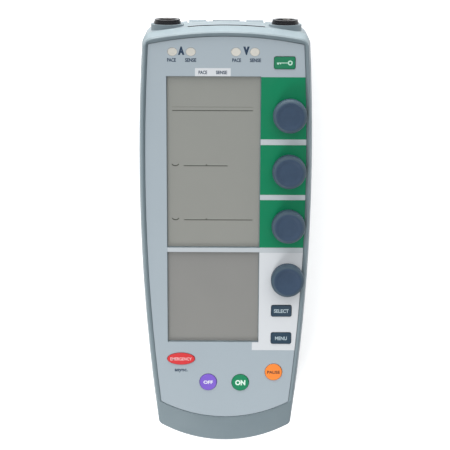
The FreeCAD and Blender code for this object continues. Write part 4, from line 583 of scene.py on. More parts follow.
def lay_piece(name: str, shape: bmesh.types.BMesh, finish: str,
              body: str = Body.CASE.value) -> None:
    """Turn a bmesh into a finished piece with outward faces.

    Args:
        name: The piece's name.
        shape: The bmesh, in metres, which is freed.
        finish: The finish's name.
        body: The body that it moves with.
    """
    bmesh.ops.remove_doubles(shape, verts=shape.verts, dist=1e-7)
    bmesh.ops.recalc_face_normals(shape, faces=shape.faces)
    mesh = bpy.data.meshes.new(name)
    shape.to_mesh(mesh)
    shape.free()
    piece = bpy.data.objects.new(name, mesh)
    OBJECT_COLLECTION.objects.link(piece)
    dress_piece(piece, finish, body)


def add_plate(shape: bmesh.types.BMesh, low: Sequence[float], high: Sequence[float]) -> None:
    """Add a closed box between two corners, in millimetres."""
    size = [(top - bottom) * MM for bottom, top in zip(low, high)]
    middle = [(top + bottom) / 2 * MM for bottom, top in zip(low, high)]
    bmesh.ops.create_cube(
        shape, size=1.0, matrix=Matrix.Translation(middle) @ Matrix.Diagonal((*size, 1.0)))


def add_band(shape: bmesh.types.BMesh, first: list[Any], second: list[Any]) -> None:
    """Join two closed rings of corners by a band of faces."""
    for here, corner in enumerate(first):
        there = (here + 1) % len(first)
        shape.faces.new((corner, first[there], second[there], second[here]))


def add_prism(shape: bmesh.types.BMesh, outline: Sequence[Place], low: float, high: float) -> None:
    """Add a closed prism over an outline, in millimetres."""
    foot, head = ([shape.verts.new((x * MM, y * MM, z * MM)) for x, y in outline] for z in (low, high))
    shape.faces.new(foot[::-1])
    shape.faces.new(head)
    add_band(shape, foot, head)


def add_ring(shape: bmesh.types.BMesh, centre: Place, outer: float, inner: float, low: float,
             high: float, sides: int = 40) -> None:
    """Add a closed flat ring, in millimetres."""
    turns = [math.tau * step / sides for step in range(sides)]
    rings = [[shape.verts.new(((centre[0] + radius * math.cos(turn)) * MM,
                               (centre[1] + radius * math.sin(turn)) * MM, height * MM)) for turn in turns]
             for radius, height in ((outer, low), (outer, high), (inner, high), (inner, low))]
    for first, second in zip(rings, rings[1:] + rings[:1]):
        add_band(shape, first, second)


@dataclass(frozen=True)
class Caption:
    """One printed word, fitted to a width and a height in millimetres."""

    words: str
    centre: Place
    width: float
    height: float
    weight: float = 0.02

    def add_to(self, shape: bmesh.types.BMesh, low: float, high: float) -> None:
        """Add the word to a bmesh.

        Args:
            shape: The bmesh that takes it.
            low: The ink's underside.
            high: The ink's top.
        """
        curve = bpy.data.curves.new(f"caption_{self.words}", "FONT")
        curve.body = self.words
        curve.resolution_u = 3
        curve.extrude = 0.5
        curve.offset = self.weight
        carrier = bpy.data.objects.new(curve.name, curve)
        OBJECT_COLLECTION.objects.link(carrier)
        bpy.context.view_layer.update()
        drawn = bpy.data.meshes.new_from_object(
            carrier.evaluated_get(bpy.context.evaluated_depsgraph_get()))
        xs = [vertex.co.x for vertex in drawn.vertices]
        ys = [vertex.co.y for vertex in drawn.vertices]
        middle = Vector(((min(xs) + max(xs)) / 2, (min(ys) + max(ys)) / 2, 0.0))
        scale = (self.width * MM / (max(xs) - min(xs)), self.height * MM / (max(ys) - min(ys)),
                 (high - low) * MM)
        target = Vector((self.centre[0] * MM, self.centre[1] * MM, (high + low) / 2 * MM))
        drawn.transform(Matrix.Translation(target) @ Matrix.Diagonal((*scale, 1.0))
                        @ Matrix.Translation(-middle))
        shape.from_mesh(drawn)
        bpy.data.objects.remove(carrier)
        bpy.data.curves.remove(curve)
        bpy.data.meshes.remove(drawn)


def lay_words(name: str, words: Sequence[Caption], ink: str, low: float, high: float,
              body: str = Body.CASE.value) -> None:
    """Print words as one piece.

    Args:
        name: The piece's name.
        words: The captions.
        ink: The ink's finish.
        low: The ink's underside, in millimetres.
        high: The ink's top.
        body: The body that it moves with.
    """
    shape = bmesh.new()
    for word in words:
        word.add_to(shape, low, high)
    lay_piece(name, shape, ink, body)


class GeometryTree:
    """A Geometry Nodes tree with named inputs, run once and turned into a plain mesh."""

    def __init__(self, name: str, inputs: dict[str, float], finish: str) -> None:
        """Open the tree.

        Args:
            name: The tree's name.
            inputs: Input names with their values, whole numbers for counts.
            finish: The finish of what grows.
        """
        self.tree = bpy.data.node_groups.new(name, "GeometryNodeTree")
        self.values: dict[str, Any] = {}
        for way in ("INPUT", "OUTPUT"):
            self.tree.interface.new_socket("Geometry", in_out=way, socket_type="NodeSocketGeometry")
        for label, value in {**inputs, "Material": Finishes.get(finish)}.items():
            kind = {int: "Int", float: "Float"}.get(type(value), "Material")
            socket = self.tree.interface.new_socket(label, in_out="INPUT", socket_type=f"NodeSocket{kind}")
            self.values[socket.identifier] = value
        self.board = Board(self.tree)
        self.given = self.board.add("NodeGroupInput").outputs

    def moved(self, geometry: bpy.types.NodeSocket, lift: Any) -> bpy.types.NodeSocket:
        """Lift a geometry by a height."""
        return self.board.add("GeometryNodeTransform", {
            "Geometry": geometry, "Translation": self.board.vector(Z=lift)}).outputs[0]

    def deliver(self, geometry: bpy.types.NodeSocket) -> None:
        """End the tree in Realize Instances and Set Material."""
        real = self.board.add("GeometryNodeRealizeInstances", {0: geometry})
        dressed = self.board.add("GeometryNodeSetMaterial", {
            "Geometry": real.outputs[0], "Material": self.given["Material"]})
        self.board.add("NodeGroupOutput", {0: dressed.outputs[0]})

    def grow(self, name: str, points: Sequence[Sequence[float]]) -> bpy.types.Object:
        """Run the tree on some points.

        Args:
            name: The new piece's name.
            points: The points that it grows from, in metres.

        Returns:
            The piece, a plain mesh with no modifier.
        """
        seed = bpy.data.meshes.new(name)
        seed.from_pydata(points, [], [])
        piece = bpy.data.objects.new(name, seed)
        OBJECT_COLLECTION.objects.link(piece)
        modifier = piece.modifiers.new("grow", "NODES")
        modifier.node_group = self.tree
        for identifier, value in self.values.items():
            modifier[identifier] = value
        bpy.context.view_layer.update()
        grown = bpy.data.meshes.new_from_object(
            piece.evaluated_get(bpy.context.evaluated_depsgraph_get()))
        piece.modifiers.clear()
        piece.data = grown
        return piece


@dataclass
class CaseShell:
    """The two halves of the case, the cord between them and the screws that pull them together."""

    screw_places: tuple[Place, ...] = (
        (34.4, 74.0), (-34.4, 74.0), (34.5, -4.85), (-34.5, -4.85), (27.0, -79.6), (-27.0, -79.6))
    head_base: float = 13.8
    head_radius: float = 2.7
    head_height: float = 2.2
    head_doming: float = 0.45
    shank_radius: float = 1.45
    core_share: float = 0.84
    thread_share: float = 0.87
    wire_share: float = 0.11
    thread_reach: float = 0.94
    thread_foot: float = 0.97
    tip_height: float = 32.2
    recess_width: float = 0.75
    recess_span: float = 3.0
    recess_depth: float = 1.3
    thread_pitch: float = 1.1
    turning_seed: int = 7
    seam_end: float = 102.0
    seam_bow: float = 196.0
    lip_half: float = 18.0
    lip_steps: int = 24
    lip_depth: float = 0.5
    lip_proud: float = 0.3
    lip_span: Place = (28.55, 28.95)

    def dress(self) -> None:
        """Finish the shells, replace the plain screws and add the seam's dark lip of painted shade."""
        dress_nodes({"front_case": "front_shell", "rear_case": "rear_shell", "case_gasket": "black_rubber"})
        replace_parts(self.screws(), "case_screws")
        # Dark lip in the seam: the gasket's rubber, put there as the painted shadow of the seam line.
        self.seam_shadow_lip()

    def seam_shadow_lip(self) -> None:
        """Lay a dark rubber lip standing proud in the seam, along the bowed head end between the bosses: the
        gasket's rubber, standing in for the seam's shadow line as painted shade.
        """
        inner, outer = [], []
        for step in range(self.lip_steps + 1):
            across = self.lip_half * (2 * step / self.lip_steps - 1)
            bow = self.seam_bow - math.sqrt(self.seam_bow ** 2 - across ** 2)
            inner.append((across, self.seam_end - bow - self.lip_depth))
            outer.append((across, self.seam_end - bow + self.lip_proud))
        shape = bmesh.new()
        add_prism(shape, inner + outer[::-1], *self.lip_span)
        lay_piece("seam_shadow_lip", shape, "black_rubber")

    def screws(self) -> bpy.types.Object:
        """Make the six screws: a domed head with a cross recess, and a threaded shank.

        Returns:
            The screws, in one piece.
        """
        length = self.tip_height - self.head_base - self.head_height
        tree = GeometryTree("cross_screws", {
            "Head Radius": self.head_radius * MM, "Head Height": self.head_height * MM,
            "Recess Width": self.recess_width * MM, "Recess Span": self.recess_span * MM,
            "Recess Depth": self.recess_depth * MM, "Shank Radius": self.shank_radius * MM,
            "Shank Length": length * MM, "Thread Turns": length / self.thread_pitch}, "screw_steel")
        board, given = tree.board, tree.given
        half_head = board.times(given["Head Height"], 0.5)
        head = board.add("GeometryNodeMeshCylinder", {
            "Vertices": 40, "Side Segments": 4, "Fill Segments": 8,
            "Radius": given["Head Radius"], "Depth": given["Head Height"]})
        spot = board.parts(board.add("GeometryNodeInputPosition").outputs[0])
        squares = [board.maths("POWER", board.maths("DIVIDE", spot[axis], given["Head Radius"]), 2.0)
                   for axis in ("X", "Y")]
        upper = board.maths("MAXIMUM", board.maths("DIVIDE", spot["Z"], half_head), 0.0)
        dome = board.maths("POWER", board.maths("SQRT", board.plus(*squares)), 3.0)
        drop = board.times(board.times(dome, upper), board.times(given["Head Height"], -self.head_doming))
        domed = board.add("GeometryNodeSetPosition", {
            "Geometry": head.outputs["Mesh"], "Offset": board.vector(Z=drop)})
        cut = board.add("GeometryNodeMeshBoolean", {"Mesh 1": domed.outputs[0]}, operation="DIFFERENCE")
        for first, second in (("Recess Width", "Recess Span"), ("Recess Span", "Recess Width")):
            bar = board.add("GeometryNodeMeshCube", {"Size": board.vector(
                X=given[first], Y=given[second], Z=board.times(given["Recess Depth"], 2.0))})
            board.feed(cut, {"Mesh 2": tree.moved(bar.outputs["Mesh"], half_head)})
        shank = board.add("GeometryNodeMeshCylinder", {
            "Vertices": 24, "Radius": board.times(given["Shank Radius"], self.core_share),
            "Depth": given["Shank Length"]})
        middle = board.times(board.plus(given["Head Height"], given["Shank Length"]), -0.5)
        thread_radius = board.times(given["Shank Radius"], self.thread_share)
        coil = board.add("GeometryNodeCurveSpiral", {
            "Resolution": 20, "Rotations": given["Thread Turns"], "Start Radius": thread_radius,
            "End Radius": thread_radius, "Height": board.times(given["Shank Length"], self.thread_reach)})
        wire = board.add("GeometryNodeCurvePrimitiveCircle", {
            "Resolution": 3, "Radius": board.times(given["Shank Radius"], self.wire_share)})
        thread = board.add("GeometryNodeCurveToMesh", {
            "Curve": coil.outputs[0], "Profile Curve": wire.outputs[0], "Fill Caps": True})
        foot = board.maths("SUBTRACT", board.times(half_head, -1.0),
                           board.times(given["Shank Length"], self.thread_foot))
        whole = board.add("GeometryNodeJoinGeometry")
        for part in (cut.outputs[0], tree.moved(shank.outputs["Mesh"], middle),
                     tree.moved(thread.outputs[0], foot)):
            board.feed(whole, {0: part})
        turned = board.add("GeometryNodeTransform", {
            "Geometry": whole.outputs[0], "Rotation": (math.pi, 0.0, 0.0)})
        spin = board.add("FunctionNodeRandomValue", {"Seed": self.turning_seed, 3: math.pi / 2},
                         data_type="FLOAT")
        placed = board.add("GeometryNodeInstanceOnPoints", {
            "Points": given["Geometry"], "Instance": turned.outputs[0],
            "Rotation": board.vector(Z=spin.outputs[1])})
        tree.deliver(placed.outputs[0])
        height = (self.head_base + self.head_height / 2) * MM
        piece = tree.grow("cross_head_screws", [(x * MM, y * MM, height) for x, y in self.screw_places])
        dress_piece(piece, "screw_steel")
        return piece


@dataclass
class Dial:
    """One dial: a knob of soft-touch plastic on its shaft, over a metal encoder."""

    RIM_POLISH_AND_HIGHLIGHT = "rim_polish_and_highlight"

    name: str
    centre: Place
    radius: float = 7.95
    skirt: float = 37.7
    top: float = 43.0
    edge: float = 1.9
    edge_steps: int = 16
    # How far the rim's painted highlight and its polish reach over the rounding, the side and the foot.
    polish_highlight_slope: float = 5.0
    polish_highlight_start: float = 0.35
    side_shares: tuple[float, ...] = (0.15, 0.4, 0.65, 0.9)
    side_polish_highlight: float = 0.5
    foot_chamfer: float = 0.2
    foot_polish_highlight: float = 0.3
    bed_radius: float = 2.2
    slope_start: float = 4.3
    slope_steps: int = 10
    dish: float = 0.3
    hollow: float = 6.05
    hollow_top: float = 40.3
    ribs: int = 48
    rib_depth: float = 0.1
    rib_play: float = 0.01
    smooth_degrees: float = 40.0

    def profile(self) -> list[Point]:
        """Draw the knob's half section.

        Returns:
            Radius, height and share of rim polish and painted highlight of each point, from the face's middle
            to the inner hollow.
        """
        shore = self.radius - self.edge
        bed = self.top - self.dish
        points = [(0.0, bed, 0.0), (self.bed_radius, bed, 0.0)]
        for step in range(self.slope_steps + 1):
            share = step / self.slope_steps
            points.append((self.slope_start + (shore - self.slope_start) * share,
                           self.top - self.dish * (1 + math.cos(math.pi * share)) / 2, 0.0))
        for step in range(1, self.edge_steps + 1):
            share = step / self.edge_steps
            turn = math.pi / 2 * share
            # Share of the painted highlight and polish, rising over the rounding.
            polish_and_highlight = min(1.0, max(0.0, share * self.polish_highlight_slope - self.polish_highlight_start))
            points.append((shore + self.edge * math.sin(turn),
                           self.top - self.edge + self.edge * math.cos(turn), polish_and_highlight))
        for share in self.side_shares:
            height = self.top - self.edge - share * (self.top - self.edge - self.skirt)
            points.append((self.radius, height, self.side_polish_highlight))
        return points + [
            (self.radius - self.foot_chamfer, self.skirt, self.foot_polish_highlight), (self.hollow, self.skirt, 0.0),
            (self.hollow, self.hollow_top, 0.0), (0.0, self.hollow_top, 0.0)]

    def dress(self) -> None:
        """Finish the dial's shaft and encoder, and replace its plain knob."""
        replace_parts(self.knob(), f"{self.name}_knob")
        dress_nodes({f"{self.name}_shaft": "shaft_steel", f"{self.name}_encoder": "encoder_metal"})

    def knob(self) -> bpy.types.Object:
        """Turn the half section into a knob, with fine ribs round its side, by a node tree.

        Returns:
            The knob, which rides on the dial's body.
        """
        section = self.profile()
        tree = GeometryTree(f"{self.name}_turning", {
            "Sides": self.ribs * 4, "Section Points": len(section), "Ribs": self.ribs,
            "Rib Depth": self.rib_depth * MM, "Rib Level": (self.top - self.edge) * MM,
            "Rib Radius": (self.radius - self.rib_play) * MM, "Axis X": self.centre[0] * MM,
            "Axis Y": self.centre[1] * MM}, "knob_blue_grey")
        board, given = tree.board, tree.given
        grid = board.add("GeometryNodeMeshGrid", {
            "Vertices X": board.plus(given["Sides"], 1.0), "Vertices Y": given["Section Points"]})
        number = board.add("GeometryNodeInputIndex").outputs[0]
        row = board.maths("FLOORED_MODULO", number, given["Section Points"])
        turn = board.maths("FLOOR", board.maths("DIVIDE", board.plus(number, 0.5), given["Section Points"]))
        angle = board.times(board.maths("DIVIDE", turn, given["Sides"]), math.tau)
        sampled = board.add("GeometryNodeSampleIndex", {
            "Geometry": given["Geometry"], "Index": row,
            "Value": board.add("GeometryNodeInputPosition").outputs[0]}, data_type="FLOAT_VECTOR")
        drawn = board.parts(sampled.outputs[0])
        wave = board.times(board.plus(board.maths("COSINE", board.times(angle, given["Ribs"])), 1.0), 0.5)
        side = board.times(board.maths("GREATER_THAN", drawn["X"], given["Rib Radius"]),
                           board.maths("LESS_THAN", drawn["Z"], given["Rib Level"]))
        reach = board.maths("SUBTRACT", drawn["X"], board.times(side, board.times(wave, given["Rib Depth"])))
        spot = board.vector(
            X=board.plus(board.times(reach, board.maths("COSINE", angle)), given["Axis X"]),
            Y=board.plus(board.times(reach, board.maths("SINE", angle)), given["Axis Y"]), Z=drawn["Z"])
        masked = board.add("GeometryNodeStoreNamedAttribute", {
            "Geometry": grid.outputs["Mesh"], "Name": self.RIM_POLISH_AND_HIGHLIGHT,
            "Value": board.times(drawn["Y"], 1 / MM)}, data_type="FLOAT")
        turned = board.add("GeometryNodeSetPosition", {"Geometry": masked.outputs[0], "Position": spot})
        sealed = board.add("GeometryNodeMergeByDistance", {"Geometry": turned.outputs[0], "Distance": 1e-6})
        tree.deliver(sealed.outputs[0])
        piece = tree.grow(f"{self.name}_dial_knob",
                          [(radius * MM, mask * MM, height * MM) for radius, height, mask in section])
        shape = bmesh.new()
        shape.from_mesh(piece.data)
        bmesh.ops.recalc_face_normals(shape, faces=shape.faces)
        shape.to_mesh(piece.data)
        shape.free()
        piece.data.shade_smooth()
        piece.data.set_sharp_from_angle(angle=math.radians(self.smooth_degrees))
        dress_piece(piece, "knob_blue_grey", f"{self.name}_dial")
        return piece


@dataclass
class ControlFace:
    """The printed film on the face, its windows, the displays under them and the print on it."""

    film_top: float = 36.5
    ink_gap: float = 0.004
    ink: float = 0.03
    second_gap: float = 0.002
    second_ink: float = 0.02
    block_left: float = 16.05
    greens: tuple[Place, ...] = ((49.7, 79.0), (23.0, 47.0), (-2.9, 20.5))
    strips: tuple[Place, ...] = ((47.0, 49.7), (20.5, 23.0))
    white_left: float = 13.1
    white: Place = (-54.65, -5.46)
    bar_left: float = -27.6
    label_box: tuple[Place, Place] = ((-14.4, 79.35), (2.15, 83.1))
    plate_back: float = 34.9
    crystal: float = 0.02
    crystal_gap: float = 0.005
    film_inset: float = 0.01
    rules: tuple[Point, ...] = ((-25.1, 12.6, 62.95), (-19.8, 0.9, 36.6), (-19.7, 12.9, 10.3))
    rule_half: float = 0.2
    shadow: Place = (64.55, 64.75)
    tick: tuple[Place, Place] = ((-9.3, 0.14), (-8.8, 0.75))
    cup_span: Place = (-25.5, -22.0)
    cup_lift: float = 0.95
    cup_wall: float = 0.45
    cup_depths: Place = (1.2, 0.7)
    cup_steps: int = 10

    def dress(self) -> None:
        """Finish the face's solids, then lay the print and the displays' marks."""
        dress_nodes({
            "control_overlay": "panel_film", "upper_window": "window_clear", "lower_window": "window_clear",
            "upper_display": "upper_display_grey", "lower_display": "lower_display_grey",
            "upper_backlight": "light_guide", "lower_backlight": "light_guide",
            "display_frame": "white_moulding"})
        for number, span in enumerate(self.greens, 1):
            self.print_field(f"green_field_{number}", "green_ink", self.block_left, *span)
        for number, span in enumerate(self.strips, 1):
            self.print_field(f"pale_strip_{number}", "pale_grey_ink", self.block_left, *span)
        self.print_field("white_field", "white_ink", self.white_left, *self.white)
        self.print_field("window_bar", "pale_grey_ink", self.bar_left, self.white[1], self.greens[-1][0])
        self.label_field()
        self.lettering()
        for window in ("upper", "lower"):
            self.polariser(window)
        self.crystal_marks()

    def print_field(self, name: str, finish: str, left: float, low: float, high: float) -> None:
        """Print a field of colour, up to the film's own edge at the right and round its openings.

        Args:
            name: The piece's name.
            finish: The ink.
            left: Its left limit, in millimetres.
            low: Its lower limit.
            high: Its upper limit.
        """
        shape = bmesh.new()
        shape.from_mesh(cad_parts["control_overlay"].data)
        bmesh.ops.remove_doubles(shape, verts=shape.verts, dist=1e-6)
        top = self.film_top * MM - 1e-5
        others = [face for face in shape.faces
                  if face.normal.z < 0.9 or min(vertex.co.z for vertex in face.verts) < top]
        bmesh.ops.delete(shape, geom=others, context="FACES")
        for point, away in (((left, 0, 0), (-1, 0, 0)), ((0, low, 0), (0, -1, 0)), ((0, high, 0), (0, 1, 0))):
            bmesh.ops.bisect_plane(
                shape, geom=[*shape.verts, *shape.edges, *shape.faces], dist=1e-7,
                plane_co=Vector(point) * MM, plane_no=away, clear_outer=True)
        for vertex in shape.verts:
            vertex.co.z = (self.film_top + self.ink_gap) * MM
        grown = bmesh.ops.extrude_face_region(shape, geom=list(shape.faces))
        for item in grown["geom"]:
            if isinstance(item, bmesh.types.BMVert):
                item.co.z = (self.film_top + self.ink) * MM
        lay_piece(name, shape, finish)

    def label_field(self) -> None:
        """Print the white field that holds the upper window's two words."""
        shape = bmesh.new()
        low, high = self.label_box
        add_plate(shape, (*low, self.film_top + self.ink_gap), (*high, self.film_top + self.ink))
        lay_piece("label_field", shape, "white_ink")

    def lettering(self) -> None:
        """Print the face's letters and words, and those on the white field."""
        low, high = self.film_top + self.ink_gap, self.film_top + self.ink
        words = [Caption("A", (-20.75, 91.1), 3.0, 3.9, 0.09), Caption("V", (9.35, 91.2), 3.0, 3.9, 0.09)]
        for left, right in ((-25.25, -16.4), (4.85, 13.55)):
            words += [Caption("PACE", (left, 86.8), 4.1, 1.75, 0.035),
                      Caption("SENSE", (right, 86.8), 5.2, 1.75, 0.035)]
        words.append(Caption("async.", (-21.3, -65.4), 6.4, 1.9, 0.03))
        lay_words("face_words", words, "navy_ink", low, high)
        words = [Caption("PACE", (-10.75, 81.1), 4.0, 1.65, 0.03),
                 Caption("SENSE", (-2.1, 81.1), 5.2, 1.65, 0.03)]
        low, high = high + self.second_gap, high + self.second_ink
        lay_words("box_words", words, "navy_ink", low, high)

    def polariser(self, window: str) -> None:
        """Lay a display's front film on the back of its clear plate, up to the plate's edge."""
        low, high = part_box(f"{window}_window")
        left, bottom, under = (value / MM + self.film_inset for value in low)
        right, top = high[0] / MM - self.film_inset, high[1] / MM - self.film_inset
        shape = bmesh.new()
        add_plate(shape, (left, bottom, under), (right, top, under + self.crystal))
        lay_piece(f"{window}_polariser", shape, f"{window}_display_grey")

    def crystal_marks(self) -> None:
        """Lay the display's three dark rules, their ticks and the two cup marks on its film."""
        low = self.plate_back + self.film_inset + self.crystal + self.crystal_gap
        high = low + self.crystal
        dark = bmesh.new()
        for left, right, level in self.rules:
            add_plate(dark, (left, level - self.rule_half, low), (right, level + self.rule_half, high))
        (left, start), (right, end) = self.tick
        for _, _, level in self.rules[1:]:
            add_plate(dark, (left, level + start, low), (right, level + end, high))
            self.cup(dark, level + self.cup_lift, low, high)
        lay_piece("crystal_rules", dark, "crystal_line")
        faint = bmesh.new()
        left, right, _ = self.rules[0]
        add_plate(faint, (left, self.shadow[0], low), (right, self.shadow[1], high))
        lay_piece("crystal_shadow", faint, "crystal_shade")

    def cup(self, shape: bmesh.types.BMesh, level: float, low: float, high: float) -> None:
        """Add one cup mark, a shallow bowl open upwards."""
        middle, half = sum(self.cup_span) / 2, (self.cup_span[1] - self.cup_span[0]) / 2
        turns = [math.pi + math.pi * step / self.cup_steps for step in range(self.cup_steps + 1)]
        lower, upper = (
            [(middle + (half - wall) * math.cos(turn), level + depth * math.sin(turn)) for turn in turns]
            for wall, depth in ((0.0, self.cup_depths[0]), (self.cup_wall, self.cup_depths[1])))
        add_prism(shape, lower + upper[::-1], low, high)


@dataclass
class KeyPad:
    """The seven keys, each with its printed caption or symbol, and the switches under them."""

    cap_top: float = 37.0
    ink_gap: float = 0.003
    ink: float = 0.025
    symbol_centre: Place = (27.1, 85.7)
    captions: dict[Body, tuple[str, Caption]] = field(default_factory=lambda: {
        Body.SELECT: ("slate_ink", Caption("SELECT", (27.2, -34.5), 7.1, 1.8, 0.02)),
        Body.MENU: ("slate_ink", Caption("MENU", (27.2, -48.4), 5.7, 1.8, 0.02)),
        Body.EMERGENCY: ("rose_ink", Caption("EMERGENCY", (-21.3, -59.2), 10.4, 1.55, 0.01)),
        Body.OFF: ("caption_ink", Caption("OFF", (-8.1, -71.2), 4.6, 1.75, 0.03)),
        Body.ON: ("mint_ink", Caption("ON", (7.6, -71.35), 5.0, 2.75, 0.05)),
        Body.PAUSE: ("dark_caption_ink", Caption("PAUSE", (23.8, -65.9), 6.2, 1.6, 0.03))})
    finishes: dict[Body, str] = field(default_factory=lambda: {
        Body.LOCK: "key_green", Body.SELECT: "key_navy", Body.MENU: "key_navy",
        Body.EMERGENCY: "key_red", Body.OFF: "key_purple", Body.ON: "key_on_green",
        Body.PAUSE: "key_orange"})

    def dress(self) -> None:
        """Finish the keys and print on them."""
        dress_nodes({body.value: finish for body, finish in self.finishes.items()})
        dress_nodes({"key_switches": "switch_black"})
        low, high = self.cap_top + self.ink_gap, self.cap_top + self.ink
        for body, (ink, caption) in self.captions.items():
            lay_words(f"{body.value}_word", [caption], ink, low, high, body.value)
        self.lock_symbol(low, high)

    def lock_symbol(self, low: float, high: float) -> None:
        """Print the key symbol: a round bow at the right, a shank and a two-toothed bit at the left."""
        shape = bmesh.new()
        x, y = self.symbol_centre
        add_ring(shape, (x + 2.5, y), 1.15, 0.55, low, high)
        add_plate(shape, (x - 3.6, y - 0.2, low), (x + 1.42, y + 0.2, high))
        for tooth in (((-3.6, -0.16), (-3.35, -0.8), (-2.8, -0.8), (-2.65, -0.16)),
                      ((-2.3, -0.16), (-2.2, -0.6), (-1.8, -0.6), (-1.65, -0.16))):
            add_prism(shape, [(x + across, y + down) for across, down in tooth], low + 0.001, high + 0.001)
        lay_piece("lock_key_symbol", shape, "lock_ink", Body.LOCK.value)


@dataclass
class IndicatorLights:
    """Four cream light pipes over small lamps on the board."""

    names: tuple[str, ...] = ("atrial_pace", "atrial_sense", "ventricular_pace", "ventricular_sense")

    def dress(self) -> None:
        """Finish the light pipes and the lamps."""
        dress_nodes({f"{name}_light": "light_cream" for name in self.names})
        dress_nodes({"indicator_leds": "led_amber"})


@dataclass
class Inside:
    """Boards and the parts on them, inside the case."""

    finishes: dict[str, str] = field(default_factory=lambda: {
        "control_board": "board_green", "main_board": "board_green", "board_link": "switch_black",
        "sounder": "switch_black", "output_transformers": "ferrite_grey",
        "storage_capacitors": "can_aluminium", "board_screws": "screw_steel"})

    def dress(self) -> None:
        """Finish the inner solids."""
        dress_nodes(self.finishes)


@dataclass
class LeadSockets:
    """The two sockets at the head end, their contacts and ring nuts."""

    chambers: tuple[str, ...] = ("atrial", "ventricular")

    def dress(self) -> None:
        """Finish both sockets."""
        for chamber in self.chambers:
            dress_nodes({f"{chamber}_socket": "socket_black", f"{chamber}_socket_nut": "socket_black",
                         f"{chamber}_contacts": "contact_brass"})


@dataclass
class BatteryBay:
    """The battery in its drawer, the contacts and cover, and the sprung release."""

    finishes: dict[str, str] = field(default_factory=lambda: {
        "battery": "battery_jacket", "battery_contacts": "contact_brass",
        "battery_drawer": "drawer_plastic", "bay_cover": "white_moulding",
        "release_button": "button_plastic", "release_spring": "screw_steel"})

    def dress(self) -> None:
        """Finish the bay's solids."""
        dress_nodes(self.finishes)


@dataclass
class BackHanger:
    """The folding hanger on the back and its pin."""

    finishes: dict[str, str] = field(default_factory=lambda: {
        "hanger": "hanger_plastic", "hanger_pin": "screw_steel"})

    def dress(self) -> None:
        """Finish the hanger and its pin."""
        dress_nodes(self.finishes)


@dataclass(frozen=True)
class SoftLamp:
    """A soft lamp that faces the object: place and sides in millimetres, power in watts."""

    name: str
    place: Point
    sides: Place
    power: float
    colour: Point = (1.0, 1.0, 1.0)

    def hang(self, target: Point) -> None:
        """Hang the lamp, aimed at the target but never upwards."""
        light = bpy.data.lights.new(self.name, "AREA")
        light.shape = "RECTANGLE"
        light.size, light.size_y = (side * MM for side in self.sides)
        light.energy = self.power
        light.color = self.colour
        lamp = bpy.data.objects.new(self.name, light)
        OBJECT_COLLECTION.objects.link(lamp)
        lamp.location = Vector(self.place) * MM
        aim = Vector((target[0], target[1], min(target[2], self.place[2]))) * MM - lamp.location
        lamp.rotation_euler = aim.to_track_quat("-Z", "Y").to_euler()


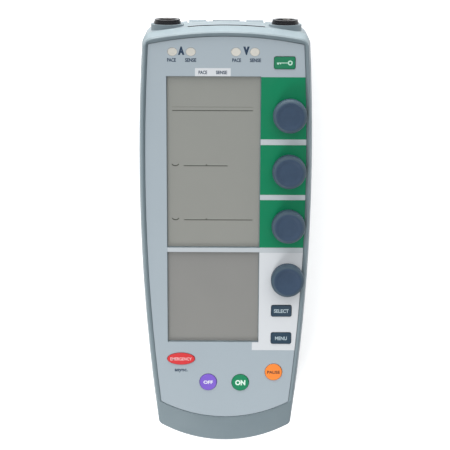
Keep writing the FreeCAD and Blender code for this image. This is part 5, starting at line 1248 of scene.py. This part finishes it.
@dataclass
class Studio:
    """A pale table, soft light from beyond the head end, and the camera."""

    target: Point = (0.0, 8.2, 36.5)
    distance: float = 670.0
    tilt: float = 14.5
    roll: float = 0.25
    lens: float = 112.67
    shift: float = -0.0009
    sky: float = 0.37
    head_glow: float = 2.6
    head_direction: Point = (-0.12, 0.95, 0.33)
    head_spread: float = 3.0
    lamps: tuple[SoftLamp, ...] = (
        SoftLamp("foot_softbox", (-300.0, -600.0, 520.0), (300.0, 300.0), 2.9),
        SoftLamp("head_strip", (-30.0, 340.0, 17.0), (260.0, 30.0), 0.8, (1.0, 0.93, 0.88)))
    table_colour: Colour = paint(238, 239, 240)
    table_roughness: float = 0.7
    table_glow: float = 0.5
    table_half: float = 3.0
    table_level: float = -0.0001

    def build(self) -> None:
        """Build the table, the world, the lamps and the camera."""
        bpy.context.scene.view_settings.view_transform = "Standard"
        self.table()
        self.world()
        for lamp in self.lamps:
            lamp.hang(self.target)
        self.camera()

    @staticmethod
    def seen(board: Board) -> bpy.types.NodeSocket:
        """Mark what the camera, gloss or glass looks at, rather than what lights the object."""
        path = board.add("ShaderNodeLightPath").outputs
        direct = board.maths("MAXIMUM", path["Is Camera Ray"], path["Is Glossy Ray"])
        return board.maths("MAXIMUM", direct, path["Is Transmission Ray"])

    def table(self) -> None:
        """Lay a pale table that reads as white where nothing shades it."""
        mesh = bpy.data.meshes.new("table")
        corners = ((-1, -1), (1, -1), (1, 1), (-1, 1))
        mesh.from_pydata([(x * self.table_half, y * self.table_half, self.table_level) for x, y in corners],
                         [], [(0, 1, 2, 3)])
        table = bpy.data.objects.new("table", mesh)
        OBJECT_COLLECTION.objects.link(table)
        material, board, shader = new_material("pale_table")
        board.feed(shader, {
            "Base Color": self.table_colour, "Roughness": self.table_roughness, "Emission Color": WHITE,
            "Emission Strength": board.times(self.seen(board), self.table_glow)})
        mesh.materials.append(material)

    def world(self) -> None:
        """Light everything softly, most from beyond the head end, and show as white behind the object."""
        world = bpy.data.worlds.new("studio")
        world.use_nodes = True
        world.node_tree.nodes.clear()
        board = Board(world.node_tree)
        towards = board.add("ShaderNodeVectorMath", {
            0: board.add("ShaderNodeTexCoord").outputs["Generated"],
            1: Vector(self.head_direction).normalized()}, operation="DOT_PRODUCT")
        lobe = board.maths("POWER", board.maths("MAXIMUM", towards.outputs["Value"], 0.0), self.head_spread)
        light = board.plus(board.times(lobe, self.head_glow), self.sky)
        air = board.add("ShaderNodeBackground", {
            "Color": WHITE,
            "Strength": board.ranged(self.seen(board), light, 1.0, start=0.0, end=1.0)})
        board.add("ShaderNodeOutputWorld", {"Surface": air.outputs[0]})
        bpy.context.scene.world = world

    def camera(self) -> None:
        """Set the camera where the photograph was taken from."""
        data = bpy.data.cameras.new("photo_camera")
        data.lens = self.lens
        data.shift_x = self.shift
        data.clip_start, data.clip_end = 0.01, 20.0
        data.dof.use_dof = False
        camera = bpy.data.objects.new("photo_camera", data)
        OBJECT_COLLECTION.objects.link(camera)
        lean = math.radians(self.tilt)
        away = Vector((0.0, math.sin(lean), math.cos(lean))) * self.distance
        camera.matrix_world = (Matrix.Translation((Vector(self.target) + away) * MM)
                               @ Matrix.Rotation(-lean, 4, "X")
                               @ Matrix.Rotation(math.radians(self.roll), 4, "Z"))
        bpy.context.scene.camera = camera


DIALS = (Dial("rate", (29.8, 61.4)), Dial("atrial_output", (29.8, 34.9)),
         Dial("ventricular_output", (29.8, 8.4)), Dial("menu", (29.8, -18.1)))


def main() -> None:
    """Build the studio, then dress each sub-assembly in order."""
    logging.basicConfig(level=logging.INFO, format="%(name)s %(message)s")
    Studio().build()
    CaseShell().dress()
    ControlFace().dress()
    for dial in DIALS:
        dial.dress()
    KeyPad().dress()
    IndicatorLights().dress()
    Inside().dress()
    LeadSockets().dress()
    BatteryBay().dress()
    BackHanger().dress()


if __name__ == "__main__":
    main()
